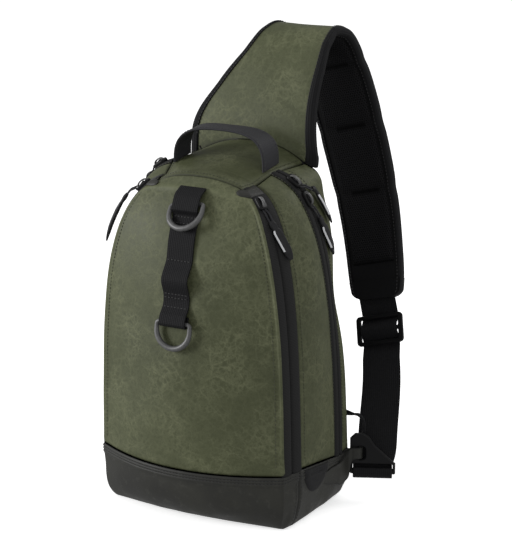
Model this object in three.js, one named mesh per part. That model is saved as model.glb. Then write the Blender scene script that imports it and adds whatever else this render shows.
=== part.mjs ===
// Sling bag for fishing tackle, in millimetres.
// X runs to the right as seen from the front, Y from the front panel to the back, Z up.
// The pieces are laid out with the middle of the boot's underside as zero. The whole bag is then
// moved so that the origin lies under the crest of the shoulder strap, where a shoulder carries it.

import * as THREE from 'three';

// Body
const BAG_WIDTH = 218;
const BACK_HEIGHT = 342;
const BOOT_HEIGHT = 52;
const SIDE_DEPTH = 122;
const FRONT_BULGE = 27;
const BACK_BULGE = 10;
const GUSSET_BOW = 4;
const LEFT_DRAW = 6;
const TOP_WIDTH = 112;
const CLOTH = 1.8;
const BOOT_WALL = 2.5;
const BACK_PADDING = 7;
const SEAM_GAP = 0.3;

// Webbing and strap
const STRAP_THICKNESS = 9;
const STRAP_WIDTH = 76;
const STRAP_CREST = 442;
const STRAP_REACH = 98;
const STRAP_SWAY = 130;
const STRAP_DROOP = 17;
const WEBBING_WIDTH = 38;
const WEBBING = 1.8;
const HANDLE_WIDTH = 25;
const HANDLE_SPAN = 96;
const HANDLE_RISE = 33;
const HANDLE_CLOTH = 2.2;
const FRONT_WEBBING_WIDTH = 28;
const WING_HEIGHT = 26;
const WING_CLOTH = 3;
const TAB_HEIGHT = 28;
const TAB_CLOTH = 2;
const LOOP_WIDTH = 9;
const LOOP_CLOTH = 3;

// Hardware
const RING_WIDTH = 39;
const RING_DROP = 25.5;
const RING_WIRE = 4;
const SLIDER_BAR = 4;
const SLIDER_SLOT = 9;
const SLIDER_PLATE = 3;
const SLIDER_SIDE = 5;
const BUCKLE_PLATE = 4;
const BUCKLE_BAR = 4.6;
const PLAY = 0.4;
const ZIP_SLIDER_WIDTH = 8;
const ZIP_SLIDER_LENGTH = 13;
const ZIP_SLIDER_HEIGHT = 4;
const PULL_CORD = 2.5;
const PULL_GRIP = 9;
const PULL_GRIP_DEPTH = 5;

const GREEN = { color: 0x61634f, roughness: 0.55, metalness: 0 };
const BLACK_CLOTH = { color: 0x2a2a2b, roughness: 0.8, metalness: 0 };
const BOOT_CLOTH = { color: 0x3c3c3a, roughness: 0.6, metalness: 0 };
const MESH_CLOTH = { color: 0x141414, roughness: 0.9, metalness: 0 };
const PLASTIC = { color: 0x262628, roughness: 0.4, metalness: 0 };
const RING_METAL = { color: 0x6c6a6e, roughness: 0.35, metalness: 0.8 };

// Outlines of the body from front to back, all as shares.
// back and backTop are depths at the boot seam and at the top, of SIDE_DEPTH; lean says how late
// the outline turns from one to the other.
// half is of half the width, top of BACK_HEIGHT, seam of BOOT_HEIGHT, edge of half TOP_WIDTH.
// taper draws the sides in, power squares the shoulder, dent hollows the side, lift crowns the top.
const OUTLINES = [
  { name: 'front', lean: 8, back: 0.0, backTop: 0.2, half: 0.93, top: 0.946, seam: 1.08,
    edge: 0.82, taper: 0.04, power: 3.4, dent: 0.0, lift: 0.031 },
  { name: 'pocket', lean: 8, back: 0.2, backTop: 0.33, half: 0.985, top: 0.94, seam: 1.1,
    edge: 0.875, taper: 0.07, power: 4.0, dent: 0.0, lift: 0.032 },
  { name: 'opening', lean: 1.6, back: 0.74, backTop: 0.5, half: 1.0, top: 0.963, seam: 0.96,
    edge: 0.965, taper: 0.02, power: 4.3, dent: 0.0, lift: 0.015 },
  { name: 'closing', lean: 2.2, back: 0.85, backTop: 0.607, half: 0.995, top: 0.968, seam: 0.94,
    edge: 0.98, taper: 0.04, power: 4.3, dent: 0.02, lift: 0.023 },
  { name: 'rear', lean: 1, back: 1.0, backTop: 0.984, half: 0.98, top: 0.98, seam: 0.93,
    edge: 1.0, taper: 0.12, power: 4.0, dent: 0.075, lift: 0.048 },
];
const DENT_HEIGHT = 0.55;
const DENT_SPREAD = 0.15;

// The boot from its underside to its seam: height and how far it has flared to the seam's outline
const BOOT_PROFILE = [
  { up: 0.0, flare: 0.0 },
  { up: 0.05, flare: 0.36 },
  { up: 0.17, flare: 0.64 },
  { up: 0.4, flare: 0.88 },
  { up: 0.7, flare: 0.98 },
  { up: 1.0, flare: 1.0 },
];
const BOOT_FOOT = { acrossFront: 0.93, acrossBack: 0.84, front: 0.1, back: 0.96 };

// Grid steps, the same on both sides of each seam
const ROWS = 14;
const ACROSS = 12;
const ZIP_STEPS = 1;
const GUSSET_STEPS = 4;
const REAR_STEPS = 2;

const half = (value) => value / 2;
const mix = (a, b, t) => a + (b - a) * t;
const clamp = (value, low, high) => Math.min(Math.max(value, low), high);
const vec = (x, y, z) => new THREE.Vector3(x, y, z);

const bag = new THREE.Group();

function addPiece(name, geometry, look) {
  const mesh = new THREE.Mesh(geometry, new THREE.MeshStandardMaterial(look));
  mesh.name = name;
  bag.add(mesh);
  return mesh;
}

// A closed mesh from points and triangles, turned so that its faces point out
function solid(points, triangles) {
  let volume = 0;
  for (const [a, b, c] of triangles) {
    volume += points[a].dot(points[b].clone().cross(points[c]));
  }
  const faces = volume < 0 ? triangles.map(([a, b, c]) => [a, c, b]) : triangles;
  const geometry = new THREE.BufferGeometry();
  const positions = points.flatMap((point) => [point.x, point.y, point.z]);
  geometry.setAttribute('position', new THREE.Float32BufferAttribute(positions, 3));
  geometry.setIndex(faces.flat());
  return geometry;
}

// A solid through closed rings of equal count. Each end is closed by a strip that joins
// the ring's first half to its second half.
function loft(rings) {
  const count = rings[0].length;
  const points = rings.flat();
  const triangles = [];
  for (let row = 0; row + 1 < rings.length; row += 1) {
    for (let i = 0; i < count; i += 1) {
      const a = row * count + i;
      const b = row * count + ((i + 1) % count);
      triangles.push([a, b, b + count], [a, b + count, a + count]);
    }
  }
  const last = (rings.length - 1) * count;
  for (let i = 0; i + 1 < half(count); i += 1) {
    const [a, b, c, d] = [i, i + 1, count - 2 - i, count - 1 - i];
    triangles.push([b, a, c], [a, d, c]);
    triangles.push([a + last, b + last, c + last], [d + last, a + last, c + last]);
  }
  return solid(points, triangles);
}

// The nearest point of a box inside the bag gives every wall its inward direction
function inward(point) {
  const core = vec(
    clamp(point.x, -half(TOP_WIDTH), half(TOP_WIDTH)),
    clamp(point.y, SIDE_DEPTH * 0.37, SIDE_DEPTH * 0.7),
    clamp(point.z, BOOT_HEIGHT, BACK_HEIGHT * 0.79),
  );
  return core.sub(point).normalize();
}

// A cloth wall over a grid, pulled back from its seams by half the seam gap
function wall(steps, rows, surface, thickness) {
  const grid = [];
  for (let i = 0; i <= steps; i += 1) {
    grid.push([]);
    for (let j = 0; j <= rows; j += 1) {
      grid[i].push(surface(i / steps, j / rows));
    }
  }
  const pull = (edge, inner) => {
    edge.add(inner.clone().sub(edge).setLength(half(SEAM_GAP)));
  };
  for (let i = 0; i <= steps; i += 1) {
    pull(grid[i][0], grid[i][1]);
    pull(grid[i][rows], grid[i][rows - 1]);
  }
  for (let j = 0; j <= rows; j += 1) {
    pull(grid[0][j], grid[1][j]);
    pull(grid[steps][j], grid[steps - 1][j]);
  }
  const outer = grid.flat();
  const inner = outer.map((point) => point.clone().addScaledVector(inward(point), thickness));
  const points = [...outer, ...inner];
  const at = (i, j) => i * (rows + 1) + j;
  const back = outer.length;
  const triangles = [];
  for (let i = 0; i < steps; i += 1) {
    for (let j = 0; j < rows; j += 1) {
      const [a, b, c, d] = [at(i, j), at(i + 1, j), at(i + 1, j + 1), at(i, j + 1)];
      triangles.push([a, b, c], [a, c, d]);
      triangles.push([a + back, c + back, b + back], [a + back, d + back, c + back]);
    }
  }
  const rim = [];
  for (let i = 0; i < steps; i += 1) rim.push([at(i + 1, 0), at(i, 0)]);
  for (let j = 0; j < rows; j += 1) rim.push([at(0, j), at(0, j + 1)]);
  for (let i = 0; i < steps; i += 1) rim.push([at(i, rows), at(i + 1, rows)]);
  for (let j = 0; j < rows; j += 1) rim.push([at(steps, j + 1), at(steps, j)]);
  for (const [a, b] of rim) {
    triangles.push([a, b, b + back], [a, b + back, a + back]);
  }
  return solid(points, triangles);
}

// The value between low and high at which a test turns from true to false
function halving(low, high, isBelow) {
  let [from, to] = [low, high];
  for (let i = 0; i < 40; i += 1) {
    const middle = half(from + to);
    if (isBelow(middle)) from = middle;
    else to = middle;
  }
  return from;
}

// Reach of one outline's side at a share of its height
function sidePoint(outline, share) {
  const reach = half(BAG_WIDTH) * outline.half;
  const bump = Math.exp(-(((share - DENT_HEIGHT) / DENT_SPREAD) ** 2));
  const corner = (1 - share ** outline.power) ** (1 / outline.power);
  return reach * ((1 - outline.taper * share) * corner - outline.dent * bump);
}

// The shoulder is the height share where the side has come in to the top panel's edge
for (const outline of OUTLINES) {
  const edge = half(TOP_WIDTH) * outline.edge;
  outline.shoulder = halving(0.6, 1, (share) => sidePoint(outline, share) > edge);
}

// Rise runs from 0 at the boot seam to 1 at the top panel; its steps close up towards the top
const climb = (rise) => 1 - (1 - rise) ** 1.7;

// Point of one outline's right side
function outlinePoint(outline, rise) {
  const share = outline.shoulder * climb(rise);
  const low = outline.seam * BOOT_HEIGHT;
  return vec(
    sidePoint(outline, share),
    SIDE_DEPTH * mix(outline.back, outline.backTop, (share / outline.shoulder) ** outline.lean),
    mix(low, outline.top * BACK_HEIGHT, share),
  );
}

// Point on the right side, station counted in outlines from front to back
function sideSurface(station, rise) {
  const index = Math.min(Math.floor(station), OUTLINES.length - 2);
  const t = station - index;
  const point = outlinePoint(OUTLINES[index], rise).lerp(outlinePoint(OUTLINES[index + 1], rise), t);
  if (index === 1) point.x += GUSSET_BOW * Math.sin(Math.PI * t) * Math.sin(Math.PI * rise) ** 0.5;
  return point;
}

// Arch of the top panel over one outline, side from -1 to 1
function topArch(station, side) {
  const index = Math.min(Math.floor(station), OUTLINES.length - 2);
  const lift = mix(OUTLINES[index].lift, OUTLINES[index + 1].lift, station - index) * BACK_HEIGHT;
  const edge = sideSurface(station, 1);
  return vec(edge.x * side, edge.y, edge.z + lift * (1 - Math.abs(side) ** 2.4));
}

// The left side is drawn in below its shoulder
const leftDraw = (rise) => LEFT_DRAW * (1 - climb(rise) ** 4);

function frontSurface(side, rise) {
  const outline = OUTLINES[0];
  const edge = outlinePoint(outline, rise);
  const share = climb(rise);
  if (side < 0) edge.x -= leftDraw(rise);
  const bulge = FRONT_BULGE * (1 - 0.78 * share * share);
  const sag = -0.03 * BOOT_HEIGHT;
  const lift = mix(sag, outline.lift * BACK_HEIGHT, rise ** 5);
  const crown = 1 - Math.abs(side) ** 2.4;
  return vec(edge.x * side, edge.y - bulge * (1 - side * side), edge.z + lift * crown);
}

function backSurface(side, rise) {
  const outline = OUTLINES.at(-1);
  const edge = outlinePoint(outline, rise);
  if (side < 0) edge.x -= leftDraw(rise);
  const fullness = Math.min(1, 4 * rise * (1 - rise) + 0.35);
  const lift = outline.lift * BACK_HEIGHT * rise ** 5 * (1 - Math.abs(side) ** 2.4);
  return vec(edge.x * side, edge.y + BACK_BULGE * fullness * (1 - side ** 4), edge.z + lift);
}

function leftSurface(station, rise) {
  const point = sideSurface(station, rise);
  return point.setX(leftDraw(rise) - point.x);
}

// The top panel's front edge follows the front panel's and its rear edge the back panel's
function topSurface(side, along) {
  const last = OUTLINES.length - 1;
  const station = along * last;
  const point = topArch(station, side);
  const front = clamp(1 - station, 0, 1);
  const rear = clamp(station - (last - 1), 0, 1);
  point.y += front * (frontSurface(side, 1).y - outlinePoint(OUTLINES[0], 1).y);
  point.y += rear * (backSurface(side, 1).y - outlinePoint(OUTLINES[last], 1).y);
  return point;
}

// Boot: a tray with rounded foot, its rim under every panel
function bootOutline() {
  const sideStations = [];
  const marks = [ZIP_STEPS, GUSSET_STEPS, ZIP_STEPS, REAR_STEPS];
  marks.forEach((steps, index) => {
    for (let i = 0; i < steps; i += 1) sideStations.push(index + i / steps);
  });
  const points = [];
  for (let i = 0; i < ACROSS; i += 1) points.push(frontSurface(-1 + (2 * i) / ACROSS, 0));
  sideStations.forEach((station) => points.push(sideSurface(station, 0)));
  for (let i = 0; i < ACROSS; i += 1) points.push(backSurface(1 - (2 * i) / ACROSS, 0));
  const left = [...sideStations, OUTLINES.length - 1].slice(1).reverse();
  left.forEach((station) => points.push(leftSurface(station, 0)));
  return points;
}

const BOOT_MIDDLE = vec(0, SIDE_DEPTH * 0.45, 0);

function bootPoint(seam, profile) {
  const depth = clamp(seam.y / SIDE_DEPTH, BOOT_FOOT.front, BOOT_FOOT.back);
  const across = mix(BOOT_FOOT.acrossFront, BOOT_FOOT.acrossBack, depth);
  const x = mix(seam.x * across, seam.x, profile.flare);
  const y = mix(depth * SIDE_DEPTH, seam.y, profile.flare);
  return vec(x, y, profile.up * (seam.z - half(SEAM_GAP)));
}

function bootInside(point, seam) {
  const from = point.clone().sub(BOOT_MIDDLE).setZ(0);
  from.setLength(from.length() - BOOT_WALL);
  const rim = seam.z - half(SEAM_GAP);
  return vec(from.x, from.y + BOOT_MIDDLE.y, mix(BOOT_WALL, rim, point.z / rim));
}

const seamLine = bootOutline();
const bootOuter = BOOT_PROFILE.map((profile) => seamLine.map((seam) => bootPoint(seam, profile)));
const bootInner = bootOuter.map((ring) => ring.map((point, i) => bootInside(point, seamLine[i])));
addPiece('boot', loft([...bootOuter, ...bootInner.reverse()]), BOOT_CLOTH);

// Panels of the body, each meeting its neighbours along shared outlines
const frontPanel = (u, v) => frontSurface(2 * u - 1, v);
const backPanel = (u, v) => backSurface(2 * u - 1, v);
const topPanel = (u, v) => topSurface(2 * u - 1, v);
const TOP_STEPS = 8;
addPiece('front_panel', wall(ACROSS, ROWS, frontPanel, CLOTH), GREEN);
addPiece('back_panel', wall(ACROSS, ROWS, backPanel, BACK_PADDING), MESH_CLOTH);
addPiece('top_panel', wall(ACROSS, TOP_STEPS, topPanel, CLOTH), GREEN);

const SIDE_STRIPS = [
  { name: 'front_zip', from: 0, steps: ZIP_STEPS, look: BLACK_CLOTH },
  { name: 'side_gusset', from: 1, steps: GUSSET_STEPS, look: GREEN },
  { name: 'main_zip', from: 2, steps: ZIP_STEPS, look: BLACK_CLOTH },
  { name: 'rear_gusset', from: 3, steps: REAR_STEPS, look: GREEN },
];
for (const strip of SIDE_STRIPS) {
  const right = (u, v) => sideSurface(strip.from + u, v);
  const left = (u, v) => leftSurface(strip.from + u, v);
  addPiece(`${strip.name}_right`, wall(strip.steps, ROWS, right, CLOTH), strip.look);
  addPiece(`${strip.name}_left`, wall(strip.steps, ROWS, left, CLOTH), strip.look);
}

// Shoulder strap: a padded band sewn in over the back panel, widest at the seam.
// across, behind and up are shares of STRAP_SWAY, STRAP_REACH and STRAP_CREST.
// wide is of STRAP_WIDTH and droop of STRAP_DROOP.
const STRAP_ROWS = [
  { across: -0.01, behind: 0.0, up: 0.776, wide: 1.92, droop: 1.0 },
  { across: 0.01, behind: 0.02, up: 0.815, wide: 1.82, droop: 0.8 },
  { across: 0.06, behind: 0.12, up: 0.873, wide: 1.51, droop: 0.4 },
  { across: 0.12, behind: 0.26, up: 0.932, wide: 1.24, droop: 0.15 },
  { across: 0.16, behind: 0.44, up: 0.983, wide: 1.06, droop: 0.0 },
  { across: 0.185, behind: 0.62, up: 1.0, wide: 0.97, droop: 0.0 },
  { across: 0.225, behind: 0.82, up: 0.979, wide: 0.9, droop: 0.0 },
  { across: 0.3, behind: 0.93, up: 0.91, wide: 0.91, droop: 0.0 },
  { across: 0.395, behind: 0.98, up: 0.805, wide: 0.94, droop: 0.0 },
  { across: 0.5, behind: 1.0, up: 0.69, wide: 0.91, droop: 0.0 },
  { across: 0.585, behind: 0.985, up: 0.59, wide: 0.85, droop: 0.0 },
  { across: 0.65, behind: 0.93, up: 0.508, wide: 0.8, droop: 0.0 },
  { across: 0.705, behind: 0.85, up: 0.445, wide: 0.76, droop: 0.0 },
  { across: 0.74, behind: 0.79, up: 0.402, wide: 0.68, droop: 0.0 },
];

// The webbing goes on from the pad's end to the buckle; turn is of BUCKLE_TURN
const WEBBING_ROWS = [
  { across: 0.745, behind: 0.775, up: 0.396, turn: 0.0 },
  { across: 0.8, behind: 0.68, up: 0.348, turn: 0.05 },
  { across: 0.86, behind: 0.56, up: 0.29, turn: 0.25 },
  { across: 0.915, behind: 0.43, up: 0.235, turn: 0.5 },
  { across: 0.965, behind: 0.24, up: 0.15, turn: 0.9 },
  { across: 0.99, behind: 0.135, up: 0.1, turn: 1.0 },
];
const BUCKLE_TURN = THREE.MathUtils.degToRad(25);
const STRAP_SEAM_DEPTH = SIDE_DEPTH * OUTLINES.at(-1).backTop + half(STRAP_THICKNESS);

const strapPoint = (row) => vec(
  row.across * STRAP_SWAY,
  STRAP_SEAM_DEPTH + row.behind * STRAP_REACH,
  row.up * STRAP_CREST,
);

function columnAt(rows, column, t) {
  const place = clamp(t, 0, 1) * (rows.length - 1);
  const index = Math.min(Math.floor(place), rows.length - 2);
  return mix(rows[index][column], rows[index + 1][column], place - index);
}

// A flat band: each section is a closed outline laid across the path
function band(sections) {
  return loft(sections.map(({ centre, across, normal, outline }) => outline.map(
    ([x, n]) => centre.clone().addScaledVector(across, x).addScaledVector(normal, n),
  )));
}

const flatOutline = (width, thickness) => [
  [-half(width), -half(thickness)],
  [half(width), -half(thickness)],
  [half(width), half(thickness)],
  [-half(width), half(thickness)],
];

const PAD_SECTIONS = 28;
const PAD_POINTS = [-1, -0.94, -0.82, -0.65, -0.4, -0.2, 0, 0.2, 0.4, 0.65, 0.82, 0.94, 1];
const padCurve = new THREE.CatmullRomCurve3(STRAP_ROWS.map(strapPoint), false, 'centripetal');

function padSection(t) {
  const centre = padCurve.getPoint(t);
  const tangent = padCurve.getTangent(t);
  const across = vec(1, 0, 0).addScaledVector(tangent, -tangent.x).normalize();
  const normal = across.clone().cross(tangent).normalize();
  const width = columnAt(STRAP_ROWS, 'wide', t) * STRAP_WIDTH;
  const droop = columnAt(STRAP_ROWS, 'droop', t) * STRAP_DROOP;
  const ring = [];
  for (const side of [1, -1]) {
    const order = side === 1 ? PAD_POINTS : [...PAD_POINTS].reverse();
    for (const place of order) {
      const edge = Math.abs(place) === 1 ? 0.35 : 1;
      const point = centre.clone().addScaledVector(across, place * half(width));
      point.addScaledVector(normal, side * edge * half(STRAP_THICKNESS));
      point.z -= droop * place * place;
      ring.push(point);
    }
  }
  return ring;
}

const padRings = [];
for (let i = 0; i <= PAD_SECTIONS; i += 1) padRings.push(padSection(i / PAD_SECTIONS));

// Height of the back panel's upper edge across the bag
function rearHeight(x) {
  const rear = OUTLINES.at(-1);
  const edge = outlinePoint(rear, 1).x;
  if (Math.abs(x) <= edge) return topSurface(x / edge, 1).z;
  return outlinePoint(rear, halving(0, 1, (rise) => outlinePoint(rear, rise).x > Math.abs(x))).z;
}

// The pad's lower edge stands on the seam between top panel and back panel
for (const point of padRings[0]) point.z = rearHeight(point.x) + SEAM_GAP * 2;
addPiece('strap_pad', loft(padRings), GREEN);

// Buckle frame at the lower end of the strap: right is along the bars, out faces the front
const buckleRight = vec(Math.cos(BUCKLE_TURN), Math.sin(BUCKLE_TURN), 0);
const buckleOut = vec(Math.sin(BUCKLE_TURN), -Math.cos(BUCKLE_TURN), 0);
const buckleCorner = vec(half(BAG_WIDTH) + 3.5, SIDE_DEPTH - 2, BOOT_HEIGHT * 0.47);
const bucklePoint = (right, up, out) => buckleCorner.clone()
  .addScaledVector(buckleRight, right)
  .addScaledVector(buckleOut, out)
  .add(vec(0, 0, up));

// Strap slider: a plate with two slots that the webbing runs through
const sliderHeight = SLIDER_BAR * 3 + SLIDER_SLOT * 2;
const webbingCurvePoints = WEBBING_ROWS.map(strapPoint);
const hookOffset = half(BUCKLE_PLATE) + PLAY * 1.5 + half(WEBBING);
webbingCurvePoints.push(bucklePoint(half(WEBBING_WIDTH), BUCKLE_BAR * 2.4, -hookOffset * 1.3));
webbingCurvePoints.push(bucklePoint(half(WEBBING_WIDTH), BUCKLE_BAR * 0.5, -hookOffset));
const webbingCurve = new THREE.CatmullRomCurve3(webbingCurvePoints, false, 'centripetal');
const SLIDER_PLACE = 0.165;

function webbingFrame(t) {
  const centre = webbingCurve.getPointAt(t);
  const tangent = webbingCurve.getTangentAt(t);
  const turnRows = [...WEBBING_ROWS, { turn: 1 }, { turn: 1 }];
  const turn = columnAt(turnRows, 'turn', webbingCurve.getUtoTmapping(t)) * BUCKLE_TURN;
  const across = vec(Math.cos(turn), Math.sin(turn), 0);
  across.addScaledVector(tangent, -across.dot(tangent)).normalize();
  const normal = tangent.clone().cross(across).normalize();
  if (normal.y > 0) normal.negate();
  return { centre, across, normal };
}

const webbingLength = webbingCurve.getLength();
const sliderFrame = webbingFrame(SLIDER_PLACE);
const weave = half(SLIDER_PLATE) + PLAY * 2.5 + half(WEBBING);
const slotPitch = SLIDER_BAR + SLIDER_SLOT;

// In front of the middle bar, behind the outer bars, flat beyond them
function weaveOffset(distance) {
  const away = Math.abs(distance);
  const swing = Math.cos((Math.PI * Math.min(away, slotPitch)) / slotPitch);
  const fade = 1 - clamp((away - slotPitch * 1.25) / slotPitch, 0, 1);
  return weave * swing * fade;
}

const WEBBING_STEPS = 60;
const webbingSections = [];
for (let i = 0; i <= WEBBING_STEPS; i += 1) {
  const t = mix(0, 1, (i / WEBBING_STEPS) ** 1.5);
  const frame = webbingFrame(t);
  frame.centre.addScaledVector(frame.normal, weaveOffset((t - SLIDER_PLACE) * webbingLength));
  frame.outline = flatOutline(WEBBING_WIDTH, WEBBING);
  webbingSections.push(frame);
}

// The end folds under the buckle's lower bar and up in front of it
const FOLD_STEPS = 6;
for (let i = 1; i <= FOLD_STEPS; i += 1) {
  const angle = (Math.PI * i) / FOLD_STEPS;
  const centre = bucklePoint(
    half(WEBBING_WIDTH),
    BUCKLE_BAR * 0.5 - Math.sin(angle) * (half(BUCKLE_BAR) + hookOffset),
    -hookOffset * Math.cos(angle),
  );
  const normal = buckleOut.clone().multiplyScalar(Math.cos(angle));
  normal.add(vec(0, 0, Math.sin(angle)));
  webbingSections.push({
    centre, across: buckleRight, normal, outline: flatOutline(WEBBING_WIDTH, WEBBING),
  });
}
webbingSections.push({
  centre: bucklePoint(half(WEBBING_WIDTH), BUCKLE_BAR * 1.5, hookOffset),
  across: buckleRight,
  normal: buckleOut.clone().negate(),
  outline: flatOutline(WEBBING_WIDTH, WEBBING),
});
addPiece('strap_webbing', band(webbingSections), BLACK_CLOTH);

// Plates and rings are flat outlines with holes, extruded with a small bevel
function roundedPath(target, left, low, right, high, radius) {
  target.moveTo(left + radius, low);
  target.lineTo(right - radius, low);
  target.absarc(right - radius, low + radius, radius, -Math.PI / 2, 0);
  target.lineTo(right, high - radius);
  target.absarc(right - radius, high - radius, radius, 0, Math.PI / 2);
  target.lineTo(left + radius, high);
  target.absarc(left + radius, high - radius, radius, Math.PI / 2, Math.PI);
  target.lineTo(left, low + radius);
  target.absarc(left + radius, low + radius, radius, Math.PI, Math.PI * 1.5);
  return target;
}

function plate(shape, thickness, bevel, curveSegments) {
  const geometry = new THREE.ExtrudeGeometry(shape, {
    depth: thickness - 2 * bevel,
    bevelEnabled: true,
    bevelThickness: bevel,
    bevelSize: bevel,
    bevelOffset: -bevel,
    bevelSegments: 1,
    curveSegments,
  });
  geometry.translate(0, 0, -half(thickness) + bevel);
  return geometry;
}

function place(mesh, origin, right, up) {
  const out = right.clone().cross(up);
  mesh.matrixAutoUpdate = false;
  mesh.matrix.makeBasis(right, up, out).setPosition(origin);
  return mesh;
}

const sliderWidth = WEBBING_WIDTH + 2 * SLIDER_SIDE + 2 * PLAY;
const sliderShape = roundedPath(
  new THREE.Shape(), -half(sliderWidth), -half(sliderHeight), half(sliderWidth), half(sliderHeight), 4,
);
const slotHalf = half(WEBBING_WIDTH) + PLAY;
for (const side of [-1, 1]) {
  const middle = side * (half(SLIDER_BAR) + half(SLIDER_SLOT));
  sliderShape.holes.push(roundedPath(
    new THREE.Path(), -slotHalf, middle - half(SLIDER_SLOT), slotHalf, middle + half(SLIDER_SLOT), 1,
  ));
}
const sliderMesh = addPiece('strap_slider', plate(sliderShape, SLIDER_PLATE, 0.7, 3), PLASTIC);
const sliderUp = sliderFrame.normal.clone().cross(sliderFrame.across).normalize();
place(sliderMesh, sliderFrame.centre, sliderFrame.across, sliderUp);

// Anchor buckle: a three-cornered plate with a bar for the strap and an eye for the wing
const EYE = { left: 3.5, right: 12, low: 14.5, high: 28 };
const buckleSide = 3;
const BUCKLE_HEIGHT = 41;
// Corners of the plate in order, right as a share of WEBBING_WIDTH and up as a share of its height
const BUCKLE_CORNERS = [
  { right: -0.079, up: 0.024 },
  { right: -0.053, up: 0.0 },
  { right: 1.053, up: 0.0 },
  { right: 1.079, up: 0.024 },
  { right: 1.079, up: 0.268 },
  { right: 0.895, up: 0.415 },
  { right: 0.553, up: 0.707 },
  { right: 0.395, up: 0.927 },
  { right: 0.237, up: 1.0 },
  { right: 0.053, up: 1.0 },
  { right: -0.079, up: 0.878 },
];
const buckleShape = new THREE.Shape(BUCKLE_CORNERS.map(
  ({ right, up }) => new THREE.Vector2(right * WEBBING_WIDTH, up * BUCKLE_HEIGHT),
));
buckleShape.holes.push(roundedPath(new THREE.Path(), EYE.left, EYE.low, EYE.right, EYE.high, 3.5));
buckleShape.holes.push(roundedPath(
  new THREE.Path(), -PLAY, BUCKLE_BAR, WEBBING_WIDTH + PLAY, BUCKLE_BAR * 2.2, 1,
));
const buckleMesh = addPiece('anchor_buckle', plate(buckleShape, BUCKLE_PLATE, 0.9, 4), PLASTIC);
place(buckleMesh, buckleCorner, buckleRight, vec(0, 0, 1));

// Carrying handle: an arch of folded webbing over the top panel, its feet sewn down beside the zips
function topHeight(x, y) {
  const last = OUTLINES.length - 1;
  const sideAt = (along) => x / sideSurface(along * last, 1).x;
  const along = halving(0, 1, (value) => topSurface(sideAt(value), value).y < y);
  return topSurface(sideAt(along), along).z;
}

const HANDLE_STEPS = 28;
const HANDLE_POWER = 3.2;
const handleDepth = SIDE_DEPTH * 0.58;
const handleEdge = half(HANDLE_SPAN) - half(HANDLE_CLOTH);
const handleFoot = topHeight(handleEdge, handleDepth) + SEAM_GAP;
const handleRear = topHeight(handleEdge, handleDepth + half(HANDLE_WIDTH));
const handleFront = topHeight(handleEdge, handleDepth - half(HANDLE_WIDTH));
const handleSlope = (handleRear - handleFront) / HANDLE_WIDTH;
const bend = (value) => Math.sign(value) * Math.abs(value) ** (2 / HANDLE_POWER);
const handlePoint = (angle) => vec(
  -half(HANDLE_SPAN) * bend(Math.cos(angle)),
  handleDepth,
  handleFoot + HANDLE_RISE * bend(Math.max(Math.sin(angle), 0)),
);
const handleSections = [];
for (let i = 0; i <= HANDLE_STEPS; i += 1) {
  const angle = (Math.PI * i) / HANDLE_STEPS;
  const tangent = handlePoint(angle + 0.02).sub(handlePoint(angle - 0.02));
  const upright = i === 0 || i === HANDLE_STEPS;
  const normal = upright ? vec(Math.cos(angle), 0, 0) : vec(0, 1, 0).cross(tangent).normalize();
  handleSections.push({
    centre: handlePoint(angle),
    across: vec(0, 1, handleSlope * Math.abs(Math.cos(angle))),
    normal,
    outline: flatOutline(HANDLE_WIDTH, HANDLE_CLOTH),
  });
}
addPiece('handle', band(handleSections), GREEN);

// Front webbing: tacked down in loops on the middle of the front panel, a ring in its end loops.
// up is of BACK_HEIGHT, stand is how many ring wires it stands off where it isn't tacked.
const FRONT_WEBBING_ROWS = [
  { up: 0.925, stand: 0.0 },
  { up: 0.918, stand: 0.9 },
  { up: 0.909, stand: 1.7 },
  { up: 0.888, stand: 1.8 },
  { up: 0.872, stand: 1.55 },
  { up: 0.864, stand: 0.8 },
  { up: 0.856, stand: 0.2 },
  { up: 0.84, stand: 0.1 },
  { up: 0.818, stand: 0.3 },
  { up: 0.784, stand: 0.25 },
  { up: 0.737, stand: 0.06 },
  { up: 0.69, stand: 1.6 },
  { up: 0.646, stand: 0.1 },
  { up: 0.618, stand: 0.06 },
  { up: 0.604, stand: 0.7 },
  { up: 0.594, stand: 1.3 },
];
const LOWER_BAR_UP = 0.5745;
const UPPER_BAR_UP = 0.8835;
const loopRadius = half(RING_WIRE) + PLAY * 1.5 + half(WEBBING);
const tackOff = SEAM_GAP + half(WEBBING);
const lowerBarOff = tackOff + loopRadius;
const upperBarOff = RING_WIRE * 0.85;

// A point standing off the middle line of the front panel at a height
function offFront(height, off) {
  const rise = halving(0, 1, (value) => frontSurface(0, value).z < height);
  return vec(0, frontSurface(0, rise).y - off, height);
}

const lowerBar = offFront(LOWER_BAR_UP * BACK_HEIGHT, lowerBarOff);
const upperBar = offFront(UPPER_BAR_UP * BACK_HEIGHT, upperBarOff);
const loopPoint = (angle) => lowerBar.clone()
  .add(vec(0, -loopRadius * Math.cos(angle), -loopRadius * Math.sin(angle)));
const frontStops = FRONT_WEBBING_ROWS.map(
  (row) => offFront(row.up * BACK_HEIGHT, tackOff + row.stand * RING_WIRE),
);
const frontCurve = new THREE.CatmullRomCurve3([...frontStops, loopPoint(0)], false, 'centripetal');
const FRONT_WEBBING_STEPS = 64;
const LOOP_STEPS = 8;
const frontTrail = frontCurve.getPoints(FRONT_WEBBING_STEPS);
for (let i = 1; i <= LOOP_STEPS; i += 1) frontTrail.push(loopPoint((Math.PI * i) / LOOP_STEPS));
const loopEnd = LOWER_BAR_UP * BACK_HEIGHT + FRONT_WEBBING_WIDTH * 0.2;
frontTrail.push(offFront(loopEnd, tackOff));

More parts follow.
